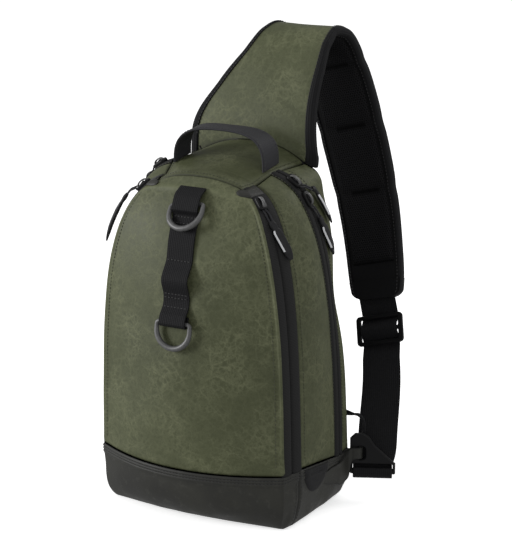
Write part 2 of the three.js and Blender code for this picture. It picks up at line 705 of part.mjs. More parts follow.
// A band of even section along a trail, its width laid across the path
function bandAlong(trail, width, thickness, acrossAt) {
  const last = trail.length - 1;
  return band(trail.map((centre, i) => {
    const tangent = trail[Math.min(i + 1, last)].clone().sub(trail[Math.max(i - 1, 0)]).normalize();
    const across = acrossAt(i / last);
    across.addScaledVector(tangent, -across.dot(tangent)).normalize();
    const normal = tangent.clone().cross(across);
    return { centre, across, normal, outline: flatOutline(width, thickness) };
  }));
}
const frontWebbing = bandAlong(frontTrail, FRONT_WEBBING_WIDTH, WEBBING, () => vec(1, 0, 0));
addPiece('front_webbing', frontWebbing, BLACK_CLOTH);

// D-rings: a straight bar in the webbing's loop and a round bow below it
const ringTurn = RING_DROP - half(RING_WIDTH);
const RING_CHAMFER = 1.4;

function bowPath(target, reach, top) {
  target.moveTo(reach - RING_CHAMFER, top);
  target.lineTo(-reach + RING_CHAMFER, top);
  target.lineTo(-reach, top - RING_CHAMFER);
  target.lineTo(-reach, -ringTurn);
  target.absarc(0, -ringTurn, reach, Math.PI, Math.PI * 2, false);
  target.lineTo(reach, top - RING_CHAMFER);
  target.closePath();
  return target;
}

const ringShape = bowPath(new THREE.Shape(), half(RING_WIDTH), half(RING_WIRE));
ringShape.holes.push(bowPath(new THREE.Path(), half(RING_WIDTH) - RING_WIRE, -half(RING_WIRE)));

const RINGS = [
  { name: 'd_ring_upper', bar: upperBar, lean: 37, roll: 7, slip: -0.5 },
  { name: 'd_ring_lower', bar: lowerBar, lean: 7, roll: 0, slip: 0 },
];
for (const ring of RINGS) {
  const lean = THREE.MathUtils.degToRad(ring.lean);
  const roll = THREE.MathUtils.degToRad(ring.roll);
  const right = vec(Math.cos(roll), 0, Math.sin(roll));
  const up = vec(-Math.sin(roll) * Math.cos(lean), Math.sin(lean), Math.cos(roll) * Math.cos(lean));
  const mesh = addPiece(ring.name, plate(ringShape, RING_WIRE, 1, 7), RING_METAL);
  place(mesh, ring.bar.clone().addScaledVector(right, ring.slip), right, up);
}

// Zip sliders and their pulls. station counts outlines from the front, up is of BACK_HEIGHT.
// Each pull goes from its slider by way of a second place to its end, and stand is how many
// grip widths it lies off the side there.
const ZIP_PULLS = [
  { name: 'front_right', side: 1, station: 0.3, up: 0.893,
    viaStation: 0.5, viaUp: 0.84, viaStand: 0.42, endStation: 1.08, endUp: 0.75, endStand: 0.5 },
  { name: 'main_right_1', side: 1, station: 2.5, up: 0.93,
    viaStation: 3.35, viaUp: 0.898, viaStand: 0.5, endStation: 3.75, endUp: 0.8, endStand: 0.42 },
  { name: 'main_right_2', side: 1, station: 2.5, up: 0.885,
    viaStation: 2.85, viaUp: 0.84, viaStand: 0.42, endStation: 3.45, endUp: 0.72, endStand: 0.42 },
  { name: 'front_left', side: -1, station: 0.5, up: 0.9,
    viaStation: 0.8, viaUp: 0.872, viaStand: 0.9, endStation: 1.15, endUp: 0.725, endStand: 1.7 },
  { name: 'main_left_1', side: -1, station: 2.5, up: 0.935,
    viaStation: 3.3, viaUp: 0.885, viaStand: 0.5, endStation: 3.5, endUp: 0.76, endStand: 0.42 },
  { name: 'main_left_2', side: -1, station: 2.5, up: 0.89,
    viaStation: 2.45, viaUp: 0.83, viaStand: 0.37, endStation: 2.5, endUp: 0.7, endStand: 0.37 },
];

// along runs down the pull; wide and thick are of the grip's width and depth
const PULL_PROFILE = [
  { along: 0.0, wide: PULL_CORD / PULL_GRIP, thick: PULL_CORD / PULL_GRIP_DEPTH },
  { along: 0.13, wide: PULL_CORD / PULL_GRIP, thick: PULL_CORD / PULL_GRIP_DEPTH },
  { along: 0.26, wide: PULL_CORD / PULL_GRIP, thick: PULL_CORD / PULL_GRIP_DEPTH },
  { along: 0.4, wide: PULL_CORD / PULL_GRIP, thick: PULL_CORD / PULL_GRIP_DEPTH },
  { along: 0.48, wide: 0.75, thick: 0.85 },
  { along: 0.6, wide: 0.95, thick: 1.0 },
  { along: 0.92, wide: 1.0, thick: 1.0 },
  { along: 1.0, wide: 0.7, thick: 0.7 },
];
const PULL_SIDES = 8;
const PULL_STEPS = 12;

// A place on a side of the bag at a height, with the direction up along the side and off it,
// both from places a small step away
const RISE_STEP = 0.02;
const STATION_STEP = 0.2;

function sideFrame(side, station, height) {
  const surface = side > 0 ? sideSurface : leftSurface;
  const rise = halving(0, 1, (value) => sideSurface(station, value).z < height);
  const point = surface(station, rise);
  const [low, high] = [Math.max(rise - RISE_STEP, 0), Math.min(rise + RISE_STEP, 1)];
  const up = surface(station, high).sub(surface(station, low)).normalize();
  const along = surface(station + STATION_STEP, rise).sub(surface(station - STATION_STEP, rise));
  const out = along.cross(up).multiplyScalar(side).normalize();
  return { point, up, out };
}

function offSide(side, station, height, off) {
  const { point, out } = sideFrame(side, station, height);
  return point.addScaledVector(out, off);
}

function zipSlider(row) {
  const { point, up, out } = sideFrame(row.side, row.station, row.up * BACK_HEIGHT);
  const centre = point.addScaledVector(out, SEAM_GAP + half(ZIP_SLIDER_HEIGHT));
  const shape = roundedPath(
    new THREE.Shape(), -half(ZIP_SLIDER_WIDTH), -half(ZIP_SLIDER_LENGTH),
    half(ZIP_SLIDER_WIDTH), half(ZIP_SLIDER_LENGTH), ZIP_SLIDER_WIDTH * 0.35,
  );
  const mesh = addPiece(`zip_slider_${row.name}`, plate(shape, ZIP_SLIDER_HEIGHT, 0.8, 2), PLASTIC);
  place(mesh, centre, up.clone().cross(out), up);
  return centre.clone().addScaledVector(up, -half(ZIP_SLIDER_LENGTH) - PULL_CORD * 0.42 - SEAM_GAP);
}

function zipPull(row, start) {
  const stops = [
    { station: row.station, up: row.up, off: half(ZIP_SLIDER_HEIGHT) },
    { station: row.viaStation, up: row.viaUp, off: row.viaStand * PULL_GRIP },
    { station: row.endStation, up: row.endUp, off: row.endStand * PULL_GRIP },
  ];
  const trail = [start];
  for (let i = PULL_STEPS * 0.25; i <= PULL_STEPS; i += 1) {
    const t = (2 * i) / PULL_STEPS;
    const index = Math.min(Math.floor(t), 1);
    const [a, b] = [stops[index], stops[index + 1]];
    const station = mix(a.station, b.station, t - index);
    const height = mix(a.up, b.up, t - index) * BACK_HEIGHT;
    trail.push(offSide(row.side, station, height, mix(a.off, b.off, t - index)));
  }
  const curve = new THREE.CatmullRomCurve3(trail, false, 'centripetal');
  const rings = PULL_PROFILE.map(({ along, wide, thick }) => {
    const centre = curve.getPointAt(along);
    const tangent = curve.getTangentAt(along);
    const across = tangent.clone().cross(inward(centre)).normalize();
    const normal = across.clone().cross(tangent);
    const ring = [];
    for (let k = 0; k < PULL_SIDES; k += 1) {
      const angle = (2 * Math.PI * (k + 0.5)) / PULL_SIDES;
      ring.push(centre.clone()
        .addScaledVector(across, half(PULL_GRIP) * wide * Math.cos(angle))
        .addScaledVector(normal, half(PULL_GRIP_DEPTH) * thick * Math.sin(angle)));
    }
    return ring;
  });
  addPiece(`zip_pull_${row.name}`, loft(rings), PLASTIC);
}

for (const row of ZIP_PULLS) {
  zipPull(row, zipSlider(row));
}

// A place on the boot's right side, up being the share of its height
function bootSide(station, up) {
  const index = BOOT_PROFILE.slice(0, -1).findLastIndex((row) => row.up <= up);
  const [low, high] = [BOOT_PROFILE[index], BOOT_PROFILE[index + 1]];
  const flare = mix(low.flare, high.flare, (up - low.up) / (high.up - low.up));
  return bootPoint(sideSurface(station, 0), { up, flare });
}

// Side tab: a patch of webbing sewn on the boot's right side
const TAB_PLACE = { front: 1.18, back: 1.66, low: 0.42 };
const tabSurface = (u, v) => {
  const point = bootSide(mix(TAB_PLACE.front, TAB_PLACE.back, u), TAB_PLACE.low
    + (v * TAB_HEIGHT) / BOOT_HEIGHT);
  return point.addScaledVector(inward(point), -TAB_CLOTH - SEAM_GAP);
};
addPiece('side_tab_right', wall(2, 3, tabSurface, TAB_CLOTH), BLACK_CLOTH);

// Wing: a folded tongue from the boot's side, through the buckle's eye and back behind its bar
const WING_LOW = 0.4;
const wingOff = SEAM_GAP + half(WING_CLOTH);
const wingRows = [1.76, 1.9, 2.0, 2.35].map((station) => [0, 0.5, 1].map((t) => {
  const point = bootSide(station, WING_LOW + (t * WING_HEIGHT) / BOOT_HEIGHT);
  return point.add(vec(wingOff, 0, 0));
}));
const barOff = half(BUCKLE_PLATE) + PLAY + half(WING_CLOTH);
const eyeMiddle = half(EYE.left + EYE.right);
const wingTurn = eyeMiddle - EYE.left * 0.45;
const tongueLow = EYE.low + PLAY * 4;
const tongueHigh = EYE.high - PLAY * 2;
const WING_STOPS = [
  { right: -buckleSide - 2.4, out: barOff + 2.4, low: -1.5, high: 25 },
  { right: -1.5, out: barOff, low: EYE.low - 2.5, high: EYE.high - 1 },
  { right: 2, out: barOff, low: tongueLow, high: tongueHigh },
  { right: wingTurn, out: half(BUCKLE_PLATE) + 0.9, low: tongueLow, high: tongueHigh },
  { right: eyeMiddle, out: 0, low: tongueLow, high: tongueHigh },
  { right: wingTurn, out: -half(BUCKLE_PLATE) - 0.9, low: tongueLow, high: tongueHigh },
  { right: 2, out: -barOff, low: tongueLow, high: tongueHigh },
  { right: -1.5, out: -barOff, low: tongueLow, high: tongueHigh },
];
for (const stop of WING_STOPS) {
  wingRows.push([0, 0.5, 1].map((t) => bucklePoint(stop.right, mix(stop.low, stop.high, t), stop.out)));
}
const wingRings = wingRows.map((row, i) => {
  const before = wingRows[Math.max(i - 1, 0)][1];
  const after = wingRows[Math.min(i + 1, wingRows.length - 1)][1];
  const path = after.clone().sub(before).setZ(0).normalize();
  const normal = path.cross(vec(0, 0, 1));
  const outer = row.map((point) => point.clone().addScaledVector(normal, half(WING_CLOTH)));
  const inner = row.map((point) => point.clone().addScaledVector(normal, -half(WING_CLOTH)));
  return [...outer, ...inner.reverse()];
});
addPiece('anchor_wing', loft(wingRings), BLACK_CLOTH);

// Loop: narrow webbing from the back panel, twisted on edge and down behind the buckle's top
const LOOP_STOPS = [
  { right: 0, up: 58.5, twist: 0.75 },
  { right: 5, up: 57.5, twist: 1 },
  { right: 9, up: 53, twist: 1 },
  { right: 10.5, up: 47, twist: 1 },
  { right: 10, up: 41, twist: 1 },
  { right: 8, up: 36, twist: 1 },
];
const loopOut = -half(BUCKLE_PLATE) - SEAM_GAP - half(LOOP_WIDTH);
const loopRise = halving(0, 1, (value) => backSurface(0.85, value).z < BOOT_HEIGHT * 1.6);
const loopStart = [0.84, 0.93].map((side) => {
  const point = backSurface(side, loopRise);
  return point.add(vec(0, SEAM_GAP + PLAY + half(LOOP_CLOTH), 0));
});
const loopPath = [...loopStart, ...LOOP_STOPS.map((stop) => bucklePoint(stop.right, stop.up, loopOut))];
const loopTwists = [0, 0, ...LOOP_STOPS.map((stop) => stop.twist)];
const loopTrail = new THREE.CatmullRomCurve3(loopPath, false, 'centripetal').getPoints(21);
const loopAcross = (t) => {
  const place = t * (loopTwists.length - 1);
  const index = Math.min(Math.floor(place), loopTwists.length - 2);
  const twist = mix(loopTwists[index], loopTwists[index + 1], place - index) * half(Math.PI);
  return vec(0, 0, Math.cos(twist)).addScaledVector(buckleOut, Math.sin(twist));
};
addPiece('anchor_loop', bandAlong(loopTrail, LOOP_WIDTH, LOOP_CLOTH, loopAcross), BLACK_CLOTH);

const bagOrigin = padCurve.getPoint(5 / (STRAP_ROWS.length - 1));
bagOrigin.z -= half(STRAP_THICKNESS);
bag.position.copy(bagOrigin).negate();

export default bag;
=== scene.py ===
import bmesh
import bpy
import numpy as np
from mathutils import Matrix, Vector


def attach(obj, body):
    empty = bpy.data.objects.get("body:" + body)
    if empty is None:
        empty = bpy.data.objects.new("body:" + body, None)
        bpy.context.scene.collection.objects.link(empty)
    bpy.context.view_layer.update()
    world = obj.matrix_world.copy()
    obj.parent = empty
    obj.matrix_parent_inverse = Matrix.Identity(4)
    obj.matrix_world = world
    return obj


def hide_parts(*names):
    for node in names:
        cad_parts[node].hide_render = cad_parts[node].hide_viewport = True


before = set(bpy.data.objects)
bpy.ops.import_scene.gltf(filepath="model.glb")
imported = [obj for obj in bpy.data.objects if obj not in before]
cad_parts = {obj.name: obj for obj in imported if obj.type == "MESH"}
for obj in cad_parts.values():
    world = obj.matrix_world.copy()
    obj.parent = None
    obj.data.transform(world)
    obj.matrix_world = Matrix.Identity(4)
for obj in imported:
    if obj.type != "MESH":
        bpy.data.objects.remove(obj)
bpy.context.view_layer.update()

# Studio: a pale floor at the height of the boot's underside, a soft key light at the left front, a
# weaker one at the right, one behind and one above, and a camera a little above the bag.
scene = bpy.context.scene
FLOOR_HEIGHT = -0.4375
CAMERA_DISTANCE = 2.0
CAMERA_AZIMUTH = np.radians(29.7)
CAMERA_ELEVATION = np.radians(15.0)
CAMERA_TARGET = Vector((0.01455, -0.12531, -0.2141))
FOCAL_PIXELS, PICTURE_WIDTH, SENSOR_WIDTH = 2130, 512, 36.0
FLOOR_REACH = 12.0


class Socket:
    """One output of a shader node. Arithmetic on it adds the Math nodes that work it out."""

    def __init__(self, finish, link):
        self.finish, self.link = finish, link

    def math(self, operation, *others):
        inputs = dict(enumerate((self,) + others))
        return self.finish.node("Math", {"operation": operation}, inputs)[0]

    def __add__(self, other):
        return self.math("ADD", other)

    def __sub__(self, other):
        return self.math("SUBTRACT", other)

    def __rsub__(self, other):
        return self.math("MULTIPLY", -1.0).math("ADD", other)

    def __mul__(self, other):
        return self.math("MULTIPLY", other)

    def __truediv__(self, other):
        return self.math("DIVIDE", other)

    def __pow__(self, other):
        return self.math("POWER", other)

    __radd__ = __add__
    __rmul__ = __mul__


class Finish:
    """A material on its way: plain values go on the shader, and node() adds whatever varies."""

    def __init__(self, name, **plain):
        self.material = bpy.data.materials.new(name)
        self.material.use_nodes = True
        self.tree = self.material.node_tree
        self.tree.nodes.clear()
        names = {key.replace("_", " "): value for key, value in plain.items()}
        surface = self.node("BsdfPrincipled", {}, names)[0]
        self.shader = surface.link.node
        self.node("OutputMaterial", {}, {"Surface": surface})

    def node(self, kind, settings, inputs):
        """One node: its kind, its settings, then the values or links of its sockets."""
        made = self.tree.nodes.new("ShaderNode" + kind)
        for key, value in settings.items():
            if key == "stops":
                while len(made.color_ramp.elements) < len(value):
                    made.color_ramp.elements.new(0.5)
                for element, (place, colour) in zip(made.color_ramp.elements, value):
                    element.position, element.color = place, colour
            else:
                setattr(made, key, value)
        for key, value in inputs.items():
            if isinstance(value, Socket):
                self.tree.links.new(value.link, made.inputs[key])
            else:
                made.inputs[key].default_value = value
        return [Socket(self, output) for output in made.outputs]

    def feed(self, name, value):
        self.tree.links.new(value.link, self.shader.inputs[name])

    def place(self):
        """Object coordinates, in metres."""
        return self.node("TexCoord", {}, {})[3]

    def along(self):
        """The piece's own map, in metres: across it and along it."""
        parts = self.node("SeparateXYZ", {}, {0: self.node("TexCoord", {}, {})[2]})
        return parts[0], parts[1]

    def mark(self, name):
        """A value that the piece's own points carry, such as how near a seam they lie."""
        return self.node("Attribute", {"attribute_name": name}, {})[2]

    def noise(self, where, scale, detail=3.0, rough=0.5):
        inputs = {"Vector": where, "Scale": scale, "Detail": detail, "Roughness": rough}
        return self.node("TexNoise", {}, inputs)[0]

    def step(self, value, low, high):
        """A smooth step from 0 at low to 1 at high."""
        inputs = {"Value": value, "From Min": low, "From Max": high}
        return self.node("MapRange", {"interpolation_type": "SMOOTHSTEP"}, inputs)[0]

    def blend(self, share, first, second):
        return self.node("Mix", {"data_type": "RGBA"}, {0: share, 6: first, 7: second})[2]

    def paint(self, share, first, second):
        """A base colour between two, given as they look on screen."""
        self.feed("Base Color", self.blend(share, tint(*first), tint(*second)))

    def relief(self, height, strength, distance):
        inputs = {"Height": height, "Strength": strength, "Distance": distance}
        self.feed("Normal", self.node("Bump", {}, inputs)[0])


def tint(red, green, blue):
    """A colour as it looks on screen, from 0 to 255, as the linear light that a shader takes."""
    value = np.array([red, green, blue]) / 255
    linear = np.where(value < 0.04045, value / 12.92, ((value + 0.055) / 1.055) ** 2.4)
    return (*map(float, linear), 1.0)


floor_finish = Finish("studio_floor", Roughness=0.9, Emission_Color=(1, 1, 1, 1),
                      Emission_Strength=0.6)
floor_cloud = floor_finish.noise(floor_finish.place(), 3.0)
floor_finish.paint(floor_cloud, (238, 238, 238), (244, 244, 244))
floor_mesh = bpy.data.meshes.new("floor")
floor_corners = [(right * FLOOR_REACH, back * FLOOR_REACH, FLOOR_HEIGHT)
                 for right, back in ((-1, -1), (1, -1), (1, 1), (-1, 1))]
floor_mesh.from_pydata(floor_corners, [], [(0, 1, 2, 3)])
floor_mesh.materials.append(floor_finish.material)
floor = bpy.data.objects.new("floor", floor_mesh)
scene.collection.objects.link(floor)
floor.visible_diffuse, floor.visible_glossy = False, False

scene.world = bpy.data.worlds.new("studio")
scene.world.use_nodes = True
scene.world.node_tree.nodes["Background"].inputs["Color"].default_value = (1, 1, 1, 1)
scene.world.node_tree.nodes["Background"].inputs["Strength"].default_value = 0.5


def hang_light(name, place, target, size, power):
    """A square soft light at a place, turned towards its target, in metres and watts."""
    lamp = bpy.data.lights.new(name, "AREA")
    lamp.size, lamp.energy = size, power
    holder = bpy.data.objects.new(name, lamp)
    holder.location = place
    holder.rotation_euler = (Vector(target) - Vector(place)).to_track_quat("-Z", "Y").to_euler()
    scene.collection.objects.link(holder)


hang_light("key_light", (-2.1, -1.6, 0.4), (0, -0.15, -0.25), 1.0, 54)
hang_light("fill_light", (2.1, -1.1, 0.5), (0, -0.1, -0.25), 1.4, 8)
hang_light("rim_light", (0.9, 1.5, 1.4), (0, -0.05, -0.15), 1.0, 14)
hang_light("top_light", (0.0, -0.3, 1.8), (0, -0.1, -0.2), 1.4, 4)

camera_back = Vector((
    np.sin(CAMERA_AZIMUTH) * np.cos(CAMERA_ELEVATION),
    -np.cos(CAMERA_AZIMUTH) * np.cos(CAMERA_ELEVATION),
    np.sin(CAMERA_ELEVATION),
))
camera_data = bpy.data.cameras.new("camera")
camera_data.sensor_fit = "HORIZONTAL"
camera_data.sensor_width = SENSOR_WIDTH
camera_data.lens = FOCAL_PIXELS * SENSOR_WIDTH / PICTURE_WIDTH
camera_data.clip_start, camera_data.clip_end = 0.05, 60
camera = bpy.data.objects.new("camera", camera_data)
camera.location = CAMERA_TARGET + camera_back * CAMERA_DISTANCE
camera.rotation_euler = (-camera_back).to_track_quat("-Z", "Y").to_euler()
scene.collection.objects.link(camera)
scene.camera = camera
scene.view_settings.view_transform = "Standard"

# Boot: a tray of thick coated black cloth round the foot of the bag, cut from a front and a back
# half. Its upper edge is folded over the panels and held by two rows of stitching.
BAG_WIDTH, BACK_HEIGHT, BOOT_HEIGHT, SIDE_DEPTH = 218.0, 342.0, 52.0, 122.0
FRONT_BULGE, BACK_BULGE, GUSSET_BOW, LEFT_DRAW, TOP_WIDTH = 27.0, 10.0, 4.0, 6.0, 112.0
BOOT_WALL = 2.5
# The bag's own millimetres count from the middle of the boot's underside; this is the frame's zero
ORIGIN = np.array([24.05, 185.308, 437.5])
CORE = np.array([0.0, 60.0, 170.0])

# The body's five outlines from front to back, as shares: depth at the boot and at the top and how
# late it turns, half width, heights of top and seam, top edge, draw, squareness, hollow and crown
LEAN = np.array([8, 8, 1.6, 2.2, 1.0])
DEPTH_LOW = np.array([0.0, 0.2, 0.74, 0.85, 1.0])
DEPTH_TOP = np.array([0.2, 0.33, 0.5, 0.607, 0.984])
HALF = np.array([0.93, 0.985, 1.0, 0.995, 0.98])
TOP = np.array([0.946, 0.94, 0.963, 0.968, 0.98])
SEAM = np.array([1.08, 1.1, 0.96, 0.94, 0.93])
EDGE = np.array([0.82, 0.875, 0.965, 0.98, 1.0])
TAPER = np.array([0.04, 0.07, 0.02, 0.04, 0.12])
POWER = np.array([3.4, 4.0, 4.3, 4.3, 4.0])
DENT = np.array([0.0, 0.0, 0.0, 0.02, 0.075])
SHOULDER_SWELL = np.array([0, 0, 0.8, 5.0, 8.0])
LIFT = np.array([0.031, 0.032, 0.015, 0.023, 0.048])


def bell(value, centre, width):
    """A hump one high: e to the minus square of the distance from its centre, in widths."""
    return np.exp(-(((value - centre) / width) ** 2))


def unit(vectors):
    """Vectors made one long."""
    return vectors / np.maximum(np.linalg.norm(vectors, axis=-1, keepdims=True), 1e-9)


def side_reach(share):
    """Half width of each outline at a share of its height: a superellipse, drawn in by the taper
    and hollowed by a bell centred at 0.55. The outlines are the first axis."""
    spread = (5,) + (1,) * (share.ndim - 1)
    wide, taper, power, dent = (row.reshape(spread) for row in (HALF, TAPER, POWER, DENT))
    corner = np.clip(1 - share ** power, 0, None) ** (1 / power)
    hollow = dent * bell(share, 0.55, 0.15)
    return BAG_WIDTH / 2 * wide * ((1 - taper * share) * corner - hollow)


low_end, high_end = np.full(5, 0.6), np.full(5, 1.0)
for turn in range(50):
    middle = (low_end + high_end) / 2
    outside = side_reach(middle) > TOP_WIDTH / 2 * EDGE
    low_end, high_end = np.where(outside, middle, low_end), np.where(outside, high_end, middle)
SHOULDER = low_end


def mix(first, second, share):
    return first + (second - first) * share


def climb(rise):
    return 1 - (1 - rise) ** 1.7


def outline_points(rise):
    """Points of all five outlines on the right side. The height climbs fast and then slowly to
    the shoulder, the reach is the outline's half width and a bell-shaped swelling near the
    shoulder, and the depth leans back on the way."""
    spread = (5,) + (1,) * rise.ndim
    shoulder = SHOULDER.reshape(spread)
    share = shoulder * climb(rise)[None]
    lean = climb(rise)[None] ** LEAN.reshape(spread)
    swell = SHOULDER_SWELL.reshape(spread) * bell(rise[None], 0.86, 0.1)
    x = side_reach(share) + swell
    y = SIDE_DEPTH * mix(DEPTH_LOW.reshape(spread), DEPTH_TOP.reshape(spread), lean)
    z = mix(SEAM.reshape(spread) * BOOT_HEIGHT, TOP.reshape(spread) * BACK_HEIGHT, share)
    return np.stack([x, y, z], -1)


def side_surface(station, rise):
    """Right side of the body: straight lines from each outline to the next, station counting them
    from the front, with a sine bow outwards between the second and the third."""
    station, rise = np.broadcast_arrays(np.asarray(station, float), np.asarray(rise, float))
    every = outline_points(rise)
    index = np.clip(np.floor(station), 0, 3).astype(int)
    t = station - index
    first = np.take_along_axis(every, index[None, ..., None], 0)[0]
    second = np.take_along_axis(every, index[None, ..., None] + 1, 0)[0]
    points = mix(first, second, t[..., None])
    bow = np.sin(np.pi * np.clip(t, 0, 1)) * np.sin(np.pi * np.clip(rise, 0, 1)) ** 0.5
    points[..., 0] += np.where(index == 1, GUSSET_BOW * bow, 0)
    return points


def left_draw(rise):
    return LEFT_DRAW * (1 - climb(rise) ** 4)


def left_surface(station, rise):
    """The left side mirrors the right one and is drawn in below its shoulder."""
    points = side_surface(station, rise)
    points[..., 0] = left_draw(np.broadcast_to(rise, points.shape[:-1])) - points[..., 0]
    return points


def panel_edge(outline, side, rise):
    edge = outline_points(rise)[outline]
    edge[..., 0] -= np.where(side < 0, left_draw(rise), 0)
    return edge


def front_surface(side, rise):
    """Front panel: the outline scaled by side, from -1 to 1, bulging forwards as one minus side
    squared, less towards the top, and crowned at the top edge."""
    side, rise = np.broadcast_arrays(np.asarray(side, float), np.asarray(rise, float))
    edge = panel_edge(0, side, rise)
    bulge = FRONT_BULGE * (1 - 0.78 * climb(rise) ** 2)
    lift = mix(-0.03 * BOOT_HEIGHT, LIFT[0] * BACK_HEIGHT, rise ** 5)
    crown = 1 - np.abs(side) ** 2.4
    return np.stack([edge[..., 0] * side, edge[..., 1] - bulge * (1 - side ** 2),
                     edge[..., 2] + lift * crown], -1)


def back_surface(side, rise):
    """Back panel: the rear outline scaled by side, bulging backwards and crowned at the top."""
    side, rise = np.broadcast_arrays(np.asarray(side, float), np.asarray(rise, float))
    edge = panel_edge(4, side, rise)
    full = np.minimum(1, 4 * rise * (1 - rise) + 0.35)
    crown = 1 - np.abs(side) ** 2.4
    return np.stack([edge[..., 0] * side, edge[..., 1] + BACK_BULGE * full * (1 - side ** 4),
                     edge[..., 2] + LIFT[4] * BACK_HEIGHT * rise ** 5 * crown], -1)


def curve_uv(grid):
    """A map in metres: the mean distance walked across the columns and along the rows."""
    across = np.linalg.norm(np.diff(grid, axis=1), axis=-1).mean(0)
    down = np.linalg.norm(np.diff(grid, axis=0), axis=-1).mean(1)
    u, v = np.append(0, np.cumsum(across)), np.append(0, np.cumsum(down))
    return np.stack(np.meshgrid(u, v), -1) / 1000


def grid_faces(rows, columns):
    """Corner numbers of the face between each point of a grid and its next row and column."""
    first = (np.arange(rows - 1)[:, None] * columns + np.arange(columns - 1)).ravel()
    return np.stack([first, first + 1, first + columns + 1, first + columns], -1)


def make_piece(name, points, faces, uv, finish, nodes=(), body="bag", sharp=50, marks=()):
    """A piece from points in the bag's millimetres. Its faces are turned outwards: the sum of
    each face's area direction, times its way from the core, is made positive. Points that
    coincide are merged, which closes seams and poles. Marks are named values of the points."""
    points, uv = points.reshape(-1, 3), uv.reshape(-1, 2)
    corners = points[faces]
    area = np.cross(corners[:, 2] - corners[:, 0], corners[:, 3 % faces.shape[1]] - corners[:, 1])
    middle = corners.mean(1)
    if (area * (middle - CORE)).sum() < 0:
        faces = faces[:, ::-1]
    mesh = bpy.data.meshes.new(name)
    mesh.from_pydata(((points - ORIGIN) / 1000).tolist(), [], faces.tolist())
    layer = mesh.uv_layers.new(name="cloth")
    layer.data.foreach_set("uv", uv[faces.ravel()].ravel())
    for mark, values in dict(marks).items():
        mesh.attributes.new(mark, "FLOAT", "POINT").data.foreach_set("value", np.ravel(values))
    work = bmesh.new()
    work.from_mesh(mesh)
    bmesh.ops.remove_doubles(work, verts=work.verts, dist=2e-6)
    work.to_mesh(mesh)
    work.free()
    mesh.shade_smooth()
    mesh.set_sharp_from_angle(angle=np.radians(sharp))
    mesh.materials.append(finish.material)
    made = bpy.data.objects.new(name, mesh)
    scene.collection.objects.link(made)
    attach(made, body)
    if nodes:
        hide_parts(*nodes)
    return made


def make_grid(name, grid, finish, nodes=(), body="bag", sharp=50, marks=()):
    faces = grid_faces(*grid.shape[:2])
    return make_piece(name, grid, faces, curve_uv(grid), finish, nodes, body, sharp, marks)


def face_out(grid):
    """Directions square to a grid, along the cross product of its two ways, away from the core."""
    normal = unit(np.cross(np.gradient(grid, axis=1), np.gradient(grid, axis=0)))
    return normal * np.sign((normal * (grid - CORE)).sum())


def ripple(points, seed, length, count=9):
    """Soft uneven folds from -1 to 1: a sum of sine waves in random directions, about length
    millimetres long, through the points' own places."""
    chance = np.random.RandomState(seed)
    ways = chance.normal(size=(count, 3))
    ways /= np.linalg.norm(ways, axis=1, keepdims=True)
    ways *= 2 * np.pi / (length * chance.uniform(0.6, 1.6, (count, 1)))
    phases = chance.uniform(0, 2 * np.pi, count)
    waves = np.sin(np.tensordot(points, ways.T, 1) + phases)
    return waves.mean(-1) * 1.6


def walk(path):
    """Millimetres walked along a path of points, from its start."""
    return np.append(0, np.cumsum(np.linalg.norm(np.diff(path, axis=0), axis=1)))


def sew_row(path, normal, pitch=3.4, length=2.5, thick=0.32):
    """Stitches along a path: short rods with pointed ends, one every pitch, lying on the cloth.
    Each is a ring of six points swept over half a turn. Gives points and faces."""
    walked = walk(path)
    count = max(int(walked[-1] / pitch), 1)
    spots = (np.arange(count) + 0.5) * walked[-1] / count
    ends = [np.stack([np.interp(spots + move, walked, path[:, k]) for k in range(3)], -1)
            for move in (-length / 2, 0, length / 2)]
    ways = unit(ends[2] - ends[0])
    up = np.stack([np.interp(spots, walked, normal[:, k]) for k in range(3)], -1)
    up = unit(up - (up * ways).sum(1, keepdims=True) * ways)
    flank = np.cross(ways, up)
    phi, theta = np.meshgrid(np.linspace(0, np.pi, 5), np.linspace(0, 2 * np.pi, 7), indexing="ij")
    shape = np.stack([-np.cos(phi) * length / 2, np.sin(phi) * np.cos(theta) * thick * 1.3,
                      np.sin(phi) * np.sin(theta) * thick], -1).reshape(-1, 3)
    points = (ends[1][:, None] + shape[None, :, :1] * ways[:, None]
              + shape[None, :, 1:2] * flank[:, None] + shape[None, :, 2:] * up[:, None])
    faces = grid_faces(5, 7)[None] + np.arange(count)[:, None, None] * 35
    return points.reshape(-1, 3), faces.reshape(-1, 4)


def make_stitches(name, rows, finish, body="bag"):
    """Several rows of stitches as one piece."""
    points, faces, start = [], [], 0
    for path, normal in rows:
        row_points, row_faces = sew_row(path, normal)
        points.append(row_points)
        faces.append(row_faces + start)
        start += len(row_points)
    points, faces = np.concatenate(points), np.concatenate(faces)
    uv = points[:, :2] / 1000
    return make_piece(name, points, faces, uv, finish, body=body)


boot_finish = Finish("boot_cloth", Roughness=0.55, Specular_IOR_Level=0.3)
where = boot_finish.place()
grain = boot_finish.noise(where, 900.0, 4.0, 0.6)
cloud = boot_finish.step(boot_finish.noise(where, 22.0, 5.0, 0.6), 0.3, 0.75)
rub = boot_finish.step(boot_finish.noise(where, 130.0, 6.0, 0.7), 0.52, 0.72)
boot_colour = boot_finish.blend(cloud, tint(36, 36, 33), tint(47, 47, 42))
boot_colour = boot_finish.blend(rub * 0.25, boot_colour, tint(74, 74, 68))
# The seam mark paints shade: it darkens the cloth to near black along each piece's seams, grooves,
# sewing and folded edges.
boot_colour = boot_finish.blend(boot_finish.mark("seam") * 0.85, boot_colour, tint(12, 12, 12))
boot_finish.feed("Base Color", boot_colour)
boot_finish.feed("Roughness", 0.5 + cloud * 0.12 - rub * 0.06)
boot_finish.relief(grain * 0.6 + rub * 0.4, 0.35, 0.0006)


def make_thread(name, dark, light):
    """The finish of twisted thread, between two shades."""
    finish = Finish(name, Roughness=0.7)
    finish.paint(finish.noise(finish.place(), 1800.0, 2.0), dark, light)
    return finish


thread_finish = make_thread("black_thread", (30, 30, 31), (58, 58, 58))

